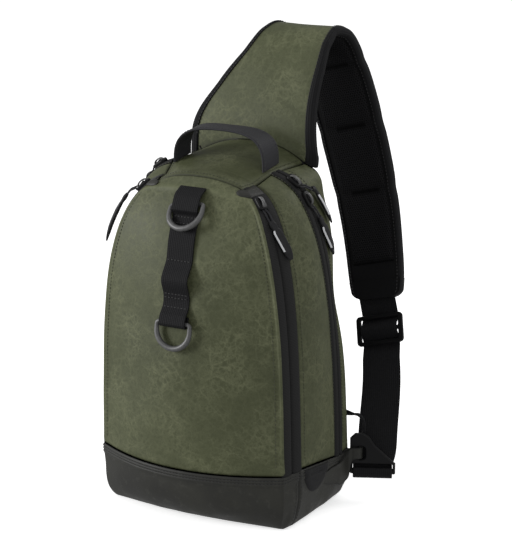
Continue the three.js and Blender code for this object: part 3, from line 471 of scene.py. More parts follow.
# The seam's line round the bag: front, right side, back and left side, with as many steps on each
SIDE_STEPS = 109
run = np.linspace(0, 1, SIDE_STEPS + 1)
level = np.zeros(SIDE_STEPS)
seam_line = np.concatenate([
    front_surface(-1 + 2 * run[:-1], level),
    side_surface(4 * run[:-1], level),
    back_surface(1 - 2 * run[:-1], level),
    left_surface(4 - 4 * run, np.zeros(SIDE_STEPS + 1)),
])
seam_line[-1] = seam_line[0]

# The station of the boot's upright side seam, and the drop of its two rows of sewing
BOOT_SEAM = 0.86
HEM_ROWS = (3.0, 5.6)


def boot_point(seam, up):
    """Boot from foot to seam. The foot is the seam's outline drawn in. From it the wall flares as
    the square root of one less the height left to the power 2.7, up to the seam's height."""
    flare = np.sqrt(np.clip(1 - np.clip(1 - up, 0, 1) ** 2.7, 0, 1))
    depth = np.clip(seam[..., 1] / SIDE_DEPTH, 0.1, 0.96)
    across = mix(np.where(seam[..., 0] < 0, 0.89, 0.9), 0.84, depth)
    x = mix(seam[..., 0] * across, seam[..., 0], flare)
    y = mix(depth * SIDE_DEPTH, seam[..., 1], flare)
    return np.stack([x, y, up * (seam[..., 2] - 0.15)], -1)


def boot_wall(seam, up):
    """The boot's outer face: boot_point, standing proud by a little more than its cloth and by
    the folded hem, hollowed along the sewing, with wide dents above and puckers near the foot."""
    points = boot_point(seam, up)
    out = points - np.array([0.0, SIDE_DEPTH * 0.45, 26.0])
    out = unit(out * [1, 1, 0.15])
    hem = 1 - np.exp(-((1 - up) * BOOT_HEIGHT / 0.8))
    drop = (1 - up) * BOOT_HEIGHT
    sewn = sum(bell(drop, row, 0.5) for row in HEM_ROWS)
    hem = hem + 0.8 / (1 + np.exp((drop - 8.5) * 3)) - 0.6 * sewn
    wave = ripple(points, 4, 46) * 0.9 * np.sin(np.pi * np.clip(up, 0, 1))
    pucker = ripple(points * [1, 1, 0.3], 9, 19) * bell(up, 0.14, 0.13) * 1.5
    return points + out * (1.1 * hem + wave + pucker * np.clip(up * 12, 0, 1) - 0.2)[..., None]


boot_ups = np.concatenate([np.linspace(0, 1, 12)[1:] ** 2.2 * 0.2, np.linspace(0.2, 0.82, 20)[1:],
                           np.linspace(0.82, 1, 40)[1:]])
wall_rows = boot_wall(seam_line[None], boot_ups[:, None] * np.ones(len(seam_line)))
foot = boot_point(seam_line, np.zeros(len(seam_line)))
foot_middle = np.array([0, SIDE_DEPTH * 0.45, 0.0])
FOOT_RINGS = 12
shrink = np.linspace(0, 1, FOOT_RINGS)[:, None, None]
foot_rows = foot_middle + (foot - foot_middle) * shrink
inner_rim = wall_rows[-1] + (foot_middle - wall_rows[-1]) * [1, 1, 0] * 0.03 + [0, 0, -1.2]
inner_low = wall_rows[12] * [0.955, 0.955, 1.0] + [0, foot_middle[1] * 0.045, 2.5]
inner_foot = foot_middle + [0, 0, BOOT_WALL] + (foot - foot_middle) * 0.9 * [1, 1, 0]
inner_end = np.broadcast_to(foot_middle + [0, 0, BOOT_WALL], foot.shape)
boot_grid = np.concatenate([foot_rows, wall_rows, inner_rim[None], inner_low[None],
                            inner_foot[None], inner_end[None]])
# Painted shade on the boot, carried as its seam mark: in the groove of the upright seam, along
# both rows of sewing, along the foot and at the folded top edge.
boot_seam_shade = np.zeros(boot_grid.shape[:2])
wall_drop = (1 - boot_ups[:, None]) * BOOT_HEIGHT
seam_station = np.full(len(seam_line), -1.0)
seam_station[SIDE_STEPS:2 * SIDE_STEPS] = 4 * run[:-1]
side_seam = bell(seam_station, BOOT_SEAM, 0.035)[None] * (wall_drop > 0.6)
sewn = sum(bell(wall_drop, row, 0.55) for row in HEM_ROWS) * 0.55
foot_line = np.exp(-(boot_ups[:, None] * BOOT_HEIGHT / 1.5) ** 2) * 0.8
outside = slice(FOOT_RINGS, FOOT_RINGS + len(boot_ups))
boot_seam_shade[outside] = np.clip(np.maximum(side_seam * 0.8, sewn) + foot_line
                             + np.exp(-wall_drop / 0.5), 0, 1)
boot_grid[outside] -= unit((seam_line - foot_middle) * [1, 1, 0]) * side_seam[..., None]
make_grid("boot", boot_grid, boot_finish, ["boot"], marks={"seam": boot_seam_shade})

boot_rows = []
for station in (BOOT_SEAM - 0.13, BOOT_SEAM + 0.13):
    seam = side_surface(np.full(60, station), np.zeros(60))
    path = boot_wall(seam, np.linspace(0.12, 0.93, 60))
    out = unit((path - foot_middle) * [1, 1, 0])
    boot_rows.append((path + out * 0.12, out))
for drop in HEM_ROWS:
    level = 1 - drop / BOOT_HEIGHT
    path = boot_wall(seam_line, np.full(len(seam_line), level))
    out = unit((path - foot_middle) * [1, 1, 0])
    boot_rows.append((path + out * 0.12, out))
make_stitches("boot_stitching", boot_rows, thread_finish)

# Front panel: coated green cloth with a worn, crazed surface, cut in one piece and sewn to the
# boot, the zip and the top. A stitched ridge runs up beside the zip.
green_finish = Finish("coated_green_cloth", Roughness=0.6, Specular_IOR_Level=0.25)
where = green_finish.place()
warp = green_finish.node("TexNoise", {}, {"Vector": where, "Scale": 38.0, "Detail": 4.0})[1]
shift = green_finish.node("VectorMath", {"operation": "MULTIPLY_ADD"},
                          {0: warp, 1: (0.02, 0.02, 0.02), 2: where})[0]
cells = green_finish.node("TexVoronoi", {"feature": "DISTANCE_TO_EDGE"},
                          {"Vector": shift, "Scale": 85.0})[0]
craze = 1 - green_finish.step(cells, 0.0, 0.1)
fine = green_finish.noise(where, 150.0, 8.0, 0.65)
vein = (1 - ((fine - 0.5) * 2).math("ABSOLUTE")) ** 7.0
patch = green_finish.step(green_finish.noise(where, 26.0, 4.0, 0.6), 0.36, 0.66)
cloud = green_finish.step(green_finish.noise(where, 9.0, 5.0, 0.62), 0.28, 0.74)
speck = green_finish.step(green_finish.noise(where, 520.0, 4.0, 0.7), 0.45, 0.75)
wear = ((vein * 0.6 + craze * 0.3) * (0.25 + patch * 0.75)).math("MINIMUM", 1.0)
green = green_finish.blend(cloud, tint(62, 66, 44), tint(73, 77, 53))
green = green_finish.blend(speck * 0.5, green, tint(57, 60, 40))
green = green_finish.blend(wear * 0.8, green, tint(108, 111, 84))
# A painted highlight along the ridge beside the zip, where the folded cloth catches the light.
green = green_finish.blend(green_finish.mark("worn") * 0.5, green, tint(108, 112, 84))
# The seam mark paints shade: the cloth darkens where it dips into the seams between panels and
# where the strap meets the bag.
green = green_finish.blend(green_finish.mark("seam") * 0.85, green, tint(28, 30, 20))
green_finish.feed("Base Color", green)
green_finish.feed("Roughness", 0.5 + cloud * 0.1 + wear * 0.12)
green_finish.relief(wear * 0.7 + speck * 0.3, 0.3, 0.0007)


def walk_grid(grid):
    """Millimetres walked to each grid point, along its row and up its column."""
    across = np.linalg.norm(np.diff(grid, axis=1), axis=-1)
    upward = np.linalg.norm(np.diff(grid, axis=0), axis=-1)
    return (np.pad(np.cumsum(across, 1), ((0, 0), (1, 0))),
            np.pad(np.cumsum(upward, 0), ((1, 0), (0, 0))))


def to_border(grid):
    """Millimetres from each grid point to the nearest border, the least of four walks."""
    across, upward = walk_grid(grid)
    return np.minimum.reduce([across, across[:, -1:] - across, upward, upward[-1:] - upward])


def fine_steps(count, crowd=0.55):
    """Even steps from 0 to 1 that crowd together at both ends."""
    t = np.linspace(0, 1, count)
    return mix(t, 0.5 - 0.5 * np.cos(np.pi * t), crowd)


def soften(grid, roll=2.2, swell=0.5, folds=0.6, seed=1, length=60):
    """Cloth pulled down into its seams: each point moves out by the swell, less the roll dying
    away from the border over a millimetre or two, plus soft folds that fade at the border."""
    near = to_border(grid)
    move = swell * (1 - np.exp(-near / 14)) - roll * np.exp(-near / 1.3)
    move = move + ripple(grid, seed, length) * folds * (1 - np.exp(-near / 10))
    return grid + face_out(grid) * move[..., None], face_out(grid)


# Besides shaping the zip ends, this is the seam mark of most pieces: painted shade along their
# seams.
def near_seam(grid, reach=1.5):
    """How near a seam each point lies: 1 at the border, dying away over the reach."""
    return np.exp(-(to_border(grid) / reach) ** 1.5)


def line_panel(name, grid, finish, nodes, thickness=1.8, sharp=60, marks=()):
    """A panel with its wall laid inwards from the outer face."""
    made = make_grid(name, grid, finish, nodes, sharp=sharp, marks=marks)
    wall = made.modifiers.new("wall", "SOLIDIFY")
    wall.thickness, wall.offset = thickness / 1000, -1
    return made


def wrap(rise):
    """How far the front panel reaches round its edge over the front zip, in stations: a little
    all the way up, and over the whole zip at its upper end."""
    return 0.22 + 0.6 * np.clip((rise - 0.9) / 0.09, 0, 1) ** 1.6


FRONT_STEPS = 200
side, rise = np.meshgrid(mix(-1, 1, fine_steps(190, 0.7)), fine_steps(FRONT_STEPS))
wrap_share, wrap_rise = np.meshgrid(np.linspace(0, 1, 14), fine_steps(FRONT_STEPS))
front_grid = np.concatenate([
    left_surface(wrap_share[:, :0:-1] * wrap(wrap_rise[:, 1:]), wrap_rise[:, 1:]),
    front_surface(side, rise),
    side_surface(wrap_share[:, 1:] * wrap(wrap_rise[:, 1:]), wrap_rise[:, 1:]),
], 1)
rise = np.concatenate([wrap_rise[:, 1:], rise, wrap_rise[:, 1:]], 1)
across, upward = walk_grid(front_grid)
near_side, near_top = np.minimum(across, across[:, -1:] - across), upward[-1:] - upward
# The ridge follows the sides and rounds into the top seam; the cloth laps up at the sides only
near_ridge = -2 * np.log(np.exp(-near_side / 2) + np.exp(-near_top / 5))
lap = bell(near_side, 0, 7) * np.clip(near_top / 14, 0, 1)
front_grid += face_out(front_grid) * (1.5 * lap)[..., None]
front_grid, front_normal = soften(front_grid, folds=0.9, seed=3, length=85)
start = np.clip(rise * 8, 0, 1)
ridge = bell(near_ridge, 6.0, 1.2) * start
front_grid -= front_normal * (1.2 * bell(near_ridge, 0, 4.5) * start)[..., None]
front_grid += front_normal * (ridge * 0.6)[..., None]
# The painted highlight runs along the ridge's crest, uneven along its length.
worn = ridge * (0.6 + 0.4 * ripple(front_grid, 5, 30))
line_panel("front_panel", front_grid, green_finish, ["front_panel"],
           marks={"seam": near_seam(front_grid), "worn": np.clip(worn, 0, 1)})


def surface_row(surface, first, second, lift):
    """A sewing line on a surface between places of its own, and the way out of the cloth there."""
    path = surface(first, second)
    aside = surface(first + 0.01, second)
    above = surface(first, np.clip(second + 0.01, 0, 1.0))
    below = surface(first, np.clip(second - 0.01, 0, 1.0))
    out = unit(np.cross(aside - path, above - below))
    out *= np.sign((out * (path - CORE)).sum())
    return path + out * lift, out


green_thread = make_thread("green_thread", (46, 49, 33), (68, 71, 50))
up_steps = np.linspace(0.02, 0.985, 260)
edge_rows = [surface_row(front_surface, np.full(260, place), up_steps, 0.75)
             for place in (-0.945, 0.945)]
make_stitches("front_panel_stitching", edge_rows, green_thread)

# Side strips: from the front, a black zip for the front pocket, the green gusset, the main zip and
# a narrow green strip along the back. Each is sewn along both edges. The zips are closed.
zip_finish = Finish("zip_tape", Roughness=0.65, Specular_IOR_Level=0.12)
across, down = zip_finish.along()
coil = (down * 4200.0).math("SINE") * 0.5 + 0.5
weave = zip_finish.noise(zip_finish.place(), 1400.0, 2.0)
zip_finish.paint(coil * 0.35 + weave * 0.3, (26, 26, 26), (50, 50, 50))
zip_finish.relief(coil * 0.6 + weave * 0.4, 0.4, 0.0004)


ZIP_LAP = 0.03


def zip_strip(surface, start):
    """A closed zip between two outlines, lapping a little over both neighbours. Two flaps swell
    up like low half waves and meet in a narrow groove in the middle."""
    u, rise = np.meshgrid(fine_steps(33, 0.3), fine_steps(160, 0.4))
    grid = surface(start + mix(-ZIP_LAP, 1 + ZIP_LAP, u), rise)
    out = face_out(grid)
    flap = np.abs(np.sin(np.pi * np.clip(u, 0, 1) * 2)) ** 0.7
    groove = bell(u, 0.5, 0.045)
    seam = np.exp(-np.minimum(u, 1 - u) / 0.03)
    return grid + out * (0.8 * flap - 1.5 * groove - 1.7 * seam + 0.7)[..., None]


HANDS = (("right", side_surface), ("left", left_surface))
for hand, surface in HANDS:
    for strip, start in (("front_zip", 0), ("main_zip", 2)):
        grid = zip_strip(surface, start)
        line_panel(f"{strip}_{hand}", grid, zip_finish, [f"{strip}_{hand}"])
    for strip, start, seed, folds, count in (("side_gusset", 1, 11, 1.5, 60),
                                             ("rear_gusset", 3, 12, 0.8, 36)):
        u, rise = np.meshgrid(fine_steps(count), fine_steps(150))
        grid = soften(surface(start + u, rise), folds=folds, seed=seed, length=55)[0]
        line_panel(f"{strip}_{hand}", grid, green_finish, [f"{strip}_{hand}"],
                   marks={"seam": near_seam(grid)})

# Zip ends: a tongue of the boot's dark cloth sewn over the upper end of each front zip, from the
# front panel's face round its edge and down on to the zip.
END_FACE, END_ZIP = 0.77, 0.9
for hand, surface in HANDS:
    turn = 1 if hand == "right" else -1
    share, height = np.meshgrid(np.linspace(0, 1, 60), np.linspace(0, 1, 24))
    taper = np.sqrt(1 - (1 - np.clip(share / 0.2, 0, 1)) ** 2 * 0.9)
    rise = 0.892 + 0.052 * share + (0.04 + 0.068 * share) * (height - 0.5) * taper
    station = np.clip((share - 0.55) / 0.45, 0, 1) * END_ZIP
    face = front_surface(turn * mix(END_FACE, 1, np.clip(share / 0.55, 0, 1)), rise)
    grid = np.where((share < 0.55)[..., None], face, surface(station, rise))
    grid = grid + face_out(grid) * (2.1 - 0.9 * near_seam(grid))[..., None]
    # Its seam mark paints shade round its borders.
    line_panel(f"zip_end_{hand}", grid, boot_finish, [], thickness=1.4,
               marks={"seam": near_seam(grid, 0.9) * 0.6})

gusset_rows = []
for hand, surface in HANDS:
    for station in (1.09, 1.94, 3.16):
        gusset_rows.append(surface_row(surface, np.full(260, station), up_steps, 0.6))
make_stitches("side_stitching", gusset_rows, green_thread)

# Top panel: one arched piece of the green cloth from the front panel over to the strap, sewn down
# at both sides beside the zips.


def top_surface(side, along):
    """Top panel: the outlines' shoulders joined from side to side, arched as one less the side
    to the power 2.4, its front edge following the front panel and its rear edge the back."""
    side, along = np.broadcast_arrays(np.asarray(side, float), np.asarray(along, float))
    station = along * 4
    index = np.clip(np.floor(station), 0, 3).astype(int)
    lift = mix(LIFT[index], LIFT[index + 1], station - index) * BACK_HEIGHT
    points = side_surface(station, np.ones(station.shape))
    points[..., 0] *= side
    points[..., 2] += lift * (1 - np.abs(side) ** 2.4)
    one = np.ones(side.shape)
    front = front_surface(side, one)[..., 1] - outline_points(one)[0][..., 1]
    rear = back_surface(side, one)[..., 1] - outline_points(one)[4][..., 1]
    points[..., 1] += np.clip(1 - station, 0, 1) * front + np.clip(station - 3, 0, 1) * rear
    return points


side, along = np.meshgrid(mix(-1, 1, fine_steps(100)), fine_steps(100))
top_grid = soften(top_surface(side, along), folds=0.9, seed=7, length=50, swell=0.6)[0]
line_panel("top_panel", top_grid, green_finish, ["top_panel"],
           marks={"seam": near_seam(top_grid, 1.8)})

top_rows = [surface_row(top_surface, np.full(110, place), np.linspace(0.03, 0.97, 110), 0.6)
            for place in (-0.93, 0.93)]
top_rows.append(surface_row(top_surface, np.linspace(-0.93, 0.93, 120), np.full(120, 0.035), 0.5))
make_stitches("top_panel_stitching", top_rows, green_thread)

# Back panel: foam under black spacer mesh, quilted into channels so that air passes behind it.
# It rests on the wearer's back.
mesh_finish = Finish("spacer_mesh", Roughness=0.9, Specular_IOR_Level=0.08)
across, down = mesh_finish.along()


def holes(finish, across, down, pitch):
    """Distance from the middle of the nearest hole of a honeycomb, as a share of the pitch: the
    lesser of the distances to two rectangular grids set half a pitch apart."""
    tall = pitch * 3 ** 0.5
    lengths = []
    for move in (0.0, 0.5):
        x = ((across / pitch + move).math("FRACT") - 0.5) ** 2.0
        y = (((down / tall + move).math("FRACT") - 0.5) * 3 ** 0.5) ** 2.0
        lengths.append((x + y).math("SQRT"))
    return lengths[0].math("MINIMUM", lengths[1])


open_part = 1 - mesh_finish.step(holes(mesh_finish, across, down, 0.0026), 0.22, 0.4)
fuzz = mesh_finish.noise(mesh_finish.place(), 1500.0, 2.0)
mesh_colour = mesh_finish.blend(fuzz, tint(22, 22, 23), tint(36, 36, 37))
# The seam mark paints shade, near black, in the strap mesh's quilting lines and at its ends.
mesh_colour = mesh_finish.blend(mesh_finish.mark("seam"), mesh_colour, tint(4, 4, 4))
mesh_finish.feed("Base Color", mesh_finish.blend(open_part * 0.85, mesh_colour, tint(5, 5, 5)))
mesh_finish.relief(1 - open_part, 0.7, 0.0012)

side, rise = np.meshgrid(mix(-1, 1, fine_steps(110, 0.4)), fine_steps(140, 0.3))
back_grid = back_surface(side, rise)
back_out = face_out(back_grid)
border = to_border(back_grid)
CHANNEL = 0.34
groove = bell(np.abs(side), CHANNEL, 0.045)
bars = bell((rise * 5) % 1, 0.5, 0.07) * (np.abs(side) > CHANNEL)
quilt = np.maximum(groove, bars) * (1 - np.exp(-border / 12))
push = 2.2 * (1 - np.exp(-border / 9)) - 2.0 * np.exp(-border / 2.5) - 4.2 * quilt
push += ripple(back_grid, 21, 60) * 0.5
back_panel = line_panel("back_panel", back_grid + back_out * push[..., None], mesh_finish,
                        ["back_panel"], thickness=6.0)

# Shoulder strap: a foam pad between green cloth outside and black cloth inside, with a panel of
# spacer mesh sewn on the inner face and black binding folded round both edges.
STRAP_THICKNESS, STRAP_WIDTH, STRAP_CREST = 9.0, 76.0, 442.0
STRAP_REACH, STRAP_SWAY, STRAP_DROOP = 98.0, 130.0, 17.0
STRAP_ROWS = np.array([
    [-0.01, 0.0, 0.776, 1.84, 1.0], [0.01, 0.02, 0.815, 1.82, 0.8], [0.06, 0.12, 0.873, 1.51, 0.4],
    [0.12, 0.26, 0.932, 1.24, 0.15], [0.16, 0.44, 0.983, 1.06, 0.0], [0.185, 0.62, 1.0, 0.97, 0.0],
    [0.225, 0.82, 0.979, 0.9, 0.0], [0.3, 0.93, 0.91, 0.91, 0.0], [0.395, 0.98, 0.805, 0.94, 0.0],
    [0.5, 1.0, 0.69, 0.91, 0.0], [0.585, 0.985, 0.59, 0.85, 0.0], [0.65, 0.93, 0.508, 0.8, 0.0],
    [0.705, 0.85, 0.445, 0.76, 0.0], [0.74, 0.79, 0.402, 0.68, 0.0],
])
STRAP_SEAM_DEPTH = SIDE_DEPTH * DEPTH_TOP[4] + STRAP_THICKNESS / 2


def strap_place(rows):
    return np.stack([rows[:, 0] * STRAP_SWAY, STRAP_SEAM_DEPTH + rows[:, 1] * STRAP_REACH,
                     rows[:, 2] * STRAP_CREST], -1)


def spline(stops, t):
    """A smooth curve through stops: each stretch is a cubic whose end slopes come from the stops
    on either side, with the time between stops the square root of their distance."""
    ends = [2 * stops[0] - stops[1], 2 * stops[-1] - stops[-2]]
    points = np.concatenate([ends[:1], stops, ends[1:]])
    spot = np.clip(t, 0, 1) * (len(stops) - 1)
    index = np.minimum(spot.astype(int), len(stops) - 2)
    w = (spot - index)[:, None]
    p = [points[index + k] for k in range(4)]
    d = [np.linalg.norm(p[k + 1] - p[k], axis=1, keepdims=True) ** 0.5 for k in range(3)]
    first = ((p[1] - p[0]) / d[0] - (p[2] - p[0]) / (d[0] + d[1]) + (p[2] - p[1]) / d[1]) * d[1]
    second = ((p[2] - p[1]) / d[1] - (p[3] - p[1]) / (d[1] + d[2]) + (p[3] - p[2]) / d[2]) * d[1]
    return (p[1] + first * w + (3 * (p[2] - p[1]) - 2 * first - second) * w ** 2
            + (2 * (p[1] - p[2]) + first + second) * w ** 3)


def spline_way(stops, t):
    """The way along the curve, from a little before t to a little after it."""
    return unit(spline(stops, t + 1e-3) - spline(stops, t - 1e-3))


def square_to(vector, tangent):
    """A vector with its share along the tangent taken out, one long."""
    vector = np.broadcast_to(vector, tangent.shape)
    return unit(vector - (vector * tangent).sum(-1, keepdims=True) * tangent)


def column(rows, k, t):
    return np.interp(np.clip(t, 0, 1) * (len(rows) - 1), np.arange(len(rows)), rows[:, k])


def smooth_column(rows, k, t):
    """A column of the table as a smooth curve through its values."""
    stops = np.stack([np.arange(len(rows)) * 0.2, rows[:, k], np.zeros(len(rows))], -1)
    return spline(stops, t)[:, 1]


rear_rises = np.linspace(0.3, 1, 300)[::-1]
rear_side = outline_points(rear_rises)[4]
rear_top = top_surface(np.linspace(0, 1, 100), np.ones(100))
rear_edge = np.concatenate([rear_top, rear_side[1:]])


def rear_height(x):
    """Height of the back panel's upper edge at a distance from the middle."""
    return np.interp(np.abs(x), rear_edge[:, 0], rear_edge[:, 2])


STRAP_LENGTH = walk(spline(strap_place(STRAP_ROWS), np.linspace(0, 1, 500)))[-1]
STRAP_CORNER = 13.0
# The quilting lines across the pad, as shares of its path
CREASES = np.array([0.536, 0.634, 0.735])


def strap_surface(t, place, off):
    """A point of the strap: along its path by t, across it by place from -1 to 1, and off the
    foam's middle by off. The width follows the table and the edges droop over the shoulder with
    the square of place. The lower end stands on the seam along the back panel's edge, and the far
    end's corners are quarter circles. The edges pull in a little at each quilting line."""
    centre = spline(strap_place(STRAP_ROWS), t)
    tangent = spline_way(strap_place(STRAP_ROWS), t)
    across = square_to(np.array([1.0, 0, 0]), tangent)
    normal = unit(np.cross(across, tangent))
    width = smooth_column(STRAP_ROWS, 3, t) * STRAP_WIDTH
    for crease in CREASES:
        width = width - 1.6 * bell(t, crease, 0.012)
    rest = np.clip(1 - (1 - np.clip(t, 0, 1)) * STRAP_LENGTH / STRAP_CORNER, 0, 1)
    width = width - 2 * STRAP_CORNER * (1 - np.sqrt(1 - 0.97 * rest ** 2))
    droop = column(STRAP_ROWS, 4, t) * STRAP_DROOP
    points = (centre[:, None] + across[:, None] * (place * width[:, None] / 2)[..., None]
              + normal[:, None] * off[..., None])
    points[..., 2] -= droop[:, None] * place ** 2
    start = np.clip(t * 24, 0, 1)[:, None]
    seat = rear_height(points[..., 0]) + 0.6
    points[..., 2] = mix(seat, points[..., 2], start * start * (3 - 2 * start))
    return points


def keep_sign(value, power):
    """A value's size raised to a power, with its sign kept; it squares off sines and cosines."""
    return np.sign(value) * np.abs(value) ** power


def close_loft(rings):
    """Rings of a solid with their first point repeated and each end drawn to its middle."""
    ends = [np.broadcast_to(rings[k].mean(0), rings[k].shape)[None] for k in (0, -1)]
    rings = np.concatenate([ends[0], rings, ends[1]])
    return np.concatenate([rings, rings[:, :1]], 1)


def strap_rings(t, places, offs):
    """Rings of the strap's surface: places across it and offs, given once or for each t."""
    shape = (len(t), len(places))
    return strap_surface(t, np.broadcast_to(places, shape), np.broadcast_to(offs, shape))


# A ring goes ACROSS points over a face and back through the middle of the foam
STRAP_STEPS, ACROSS = 300, 60
t = np.linspace(0, 1, STRAP_STEPS)
half_thick = STRAP_THICKNESS / 2
place = np.linspace(-0.97, 0.97, ACROSS)
swell = half_thick * (1 - np.abs(place) ** 6 * 0.35)
face_places = np.concatenate([place, place[::-1]])
face_off = np.concatenate([swell, np.zeros(ACROSS)])
face_offs = np.tile(face_off, (STRAP_STEPS, 1))
face_offs[:, :ACROSS] += ripple(strap_rings(t, place, 0.0), 31, 55) * 0.35
face_rings = strap_rings(t, face_places, face_offs)
# The seam's mark, painted shade where the strap meets the bag, dies away over a few millimetres;
# the loft adds two end rings and one column
strap_seam_shade = np.exp(-(t * STRAP_LENGTH / 5) ** 1.5)[np.r_[0, 0:STRAP_STEPS, -1]]
strap_seam_shade = np.tile(strap_seam_shade[:, None], (1, 2 * ACROSS + 1))
strap_face = make_grid("strap_face", close_loft(face_rings), green_finish,
                       ["strap_pad"], marks={"seam": strap_seam_shade})

plain_finish = Finish("black_lining", Roughness=0.8, Specular_IOR_Level=0.12)
across, down = plain_finish.along()
weave = (across * 5200.0).math("SINE") * (down * 5200.0).math("SINE") * 0.5 + 0.5
fuzz = plain_finish.noise(plain_finish.place(), 500.0, 4.0)
plain_finish.paint(weave * 0.3 + fuzz * 0.5, (11, 11, 12), (27, 27, 28))
plain_finish.relief(weave * 0.7 + fuzz * 0.3, 0.3, 0.0003)
# The lining is plain, so it keeps every second point
lining_rings = strap_rings(t, face_places, -face_off)[np.r_[0:STRAP_STEPS:2, -1], ::2]
strap_lining = make_grid("strap_lining", close_loft(lining_rings), plain_finish)

# The mesh panel swells between the quilting lines and dips to nothing at its own edges
MESH_START, MESH_END, MESH_HALF, MESH_PAD = 0.2, 0.884, 0.74, 3.4
mesh_t = np.linspace(MESH_START, MESH_END, STRAP_STEPS)
mesh_place = np.linspace(-MESH_HALF, MESH_HALF, ACROSS)
from_crease = mesh_t[:, None] - CREASES
crease = bell(from_crease, 0, 0.009).max(1)[:, None]
pillow = np.exp(-np.abs(from_crease) / 0.016).max(1)[:, None]
edge_side = np.exp(-(MESH_HALF - np.abs(mesh_place)) / 0.05)[None]
edge_end = np.exp(-np.minimum(mesh_t - MESH_START, MESH_END - mesh_t) / 0.006)[:, None]
mesh_dip = np.maximum(edge_side, np.maximum(edge_end, crease * 0.45 + pillow * 0.5))
mesh_off = half_thick + MESH_PAD * (1 - mesh_dip)
# The quilting lines' painted shade stops short of the panel's edges, and the panel's ends get
# painted shade too
quilt_shade = bell(from_crease, 0, 0.004).max(1)[:, None]
quilt_shade = quilt_shade * np.clip((0.5 - np.abs(mesh_place - 0.06)) * 20, 0, 1)
quilt_shade = np.pad(np.maximum(quilt_shade, edge_end), ((0, 0), (0, ACROSS + 1)))
mesh_places = np.concatenate([mesh_place, mesh_place[::-1]])
mesh_offs = -np.concatenate([mesh_off, np.full((STRAP_STEPS, ACROSS), half_thick - 1.5)], 1)
strap_mesh = make_grid("strap_mesh", close_loft(strap_rings(mesh_t, mesh_places, mesh_offs)),
                       mesh_finish,
                       marks={"seam": quilt_shade[np.r_[0, 0:STRAP_STEPS, -1]]})

webbing_finish = Finish("black_webbing", Roughness=0.7, Specular_IOR_Level=0.15)
across, down = webbing_finish.along()
rib = (across * 3300.0).math("SINE") * 0.5 + 0.5
pick = (down * 4300.0).math("SINE") * 0.5 + 0.5
fuzz = webbing_finish.noise(webbing_finish.place(), 700.0, 4.0)
webbing_finish.paint(rib * 0.35 + pick * 0.25 + fuzz * 0.3, (10, 10, 11), (30, 30, 32))
webbing_finish.relief(rib * 0.6 + pick * 0.4, 0.55, 0.0006)

turn = np.linspace(0, 2 * np.pi, 28, endpoint=False)
round_cos, round_sin = keep_sign(np.cos(turn), 0.55), keep_sign(np.sin(turn), 0.55)
for hand, sign, wide in (("left", -1, 0.135), ("right", 1, 0.17)):
    places = sign * (1.0 - wide * (0.5 - 0.5 * round_cos))
    offs = (half_thick + 0.7) * round_sin * (1 - 0.25 * np.clip(round_cos, 0, 1))
    make_grid(f"strap_binding_{hand}", close_loft(strap_rings(t, places, offs)), webbing_finish)
end_offs = np.repeat([1.0, -1.0], ACROSS) * (half_thick + 0.75)
end_rings = strap_rings(np.linspace(0.93, 1.0, 12), face_places, end_offs)
make_grid("strap_end", close_loft(end_rings), plain_finish)


def strap_row(place, off, first=0.03, last=0.985):
    """A sewing line along the strap at a place across it."""
    steps = np.linspace(first, last, 500)
    both = [strap_surface(steps, np.full((500, 1), place), np.full((500, 1), value))[:, 0]
            for value in (off, off + np.sign(off) * 1.0)]
    return both[0], unit(both[1] - both[0])


strap_rows = []
for place in (-0.885, 0.85):
    strap_rows.append(strap_row(place, half_thick + 0.75))
    strap_rows.append(strap_row(place, -half_thick - 0.75))
make_stitches("strap_stitching", strap_rows, thread_finish)

# Strap webbing: woven band sewn under the pad's end, threaded through the slider and folded under
# the lower bar of the anchor buckle.
WEBBING_WIDTH, WEBBING, PLAY = 38.0, 1.8, 0.4
SLIDER_BAR, SLIDER_SLOT, SLIDER_PLATE, SLIDER_PLACE = 4.0, 9.0, 3.0, 0.165
BUCKLE_TURN, BUCKLE_BAR, BUCKLE_PLATE = np.radians(25), 4.6, 4.0
WEBBING_ROWS = np.array([
    [0.745, 0.775, 0.396, 0.0], [0.8, 0.68, 0.348, 0.05], [0.86, 0.56, 0.29, 0.25],
    [0.915, 0.43, 0.235, 0.5], [0.965, 0.24, 0.15, 0.9], [0.99, 0.135, 0.1, 1.0],
])
buckle_right = np.array([np.cos(BUCKLE_TURN), np.sin(BUCKLE_TURN), 0.0])
buckle_out = np.array([np.sin(BUCKLE_TURN), -np.cos(BUCKLE_TURN), 0.0])
buckle_corner = np.array([BAG_WIDTH / 2 + 3.5, SIDE_DEPTH - 2, BOOT_HEIGHT * 0.47])


def buckle_point(right, up, out):
    """A place in the buckle's frame: along its bars, up, and out towards the front."""
    right, up, out = (np.asarray(value, float)[..., None] for value in (right, up, out))
    return buckle_corner + right * buckle_right + up * [0, 0, 1.0] + out * buckle_out


hook = BUCKLE_PLATE / 2 + PLAY * 1.5 + WEBBING / 2
web_stops = np.concatenate([
    strap_place(WEBBING_ROWS),
    buckle_point([WEBBING_WIDTH / 2] * 2, [BUCKLE_BAR * 2.4, BUCKLE_BAR * 0.5],
                 [-hook * 1.3, -hook]),
])
fine = np.linspace(0, 1, 4000)
fine_walk = walk(spline(web_stops, fine))
web_length = fine_walk[-1]
web_share = np.linspace(0, 1, 260)
web_t = np.interp(web_share, fine_walk / web_length, fine)


def webbing_frame(t):
    """Centre, across and outward direction of the strap webbing; it turns to the buckle's angle
    on its way down."""
    centre = spline(web_stops, t)
    tangent = spline_way(web_stops, t)
    turns = np.append(WEBBING_ROWS[:, 3], [1.0, 1.0])
    angle = np.interp(t * (len(turns) - 1), np.arange(len(turns)), turns) * BUCKLE_TURN
    across = square_to(np.stack([np.cos(angle), np.sin(angle), angle * 0], -1), tangent)
    normal = unit(np.cross(tangent, across))
    return centre, across, normal * np.where(normal[:, 1:2] > 0, -1, 1)


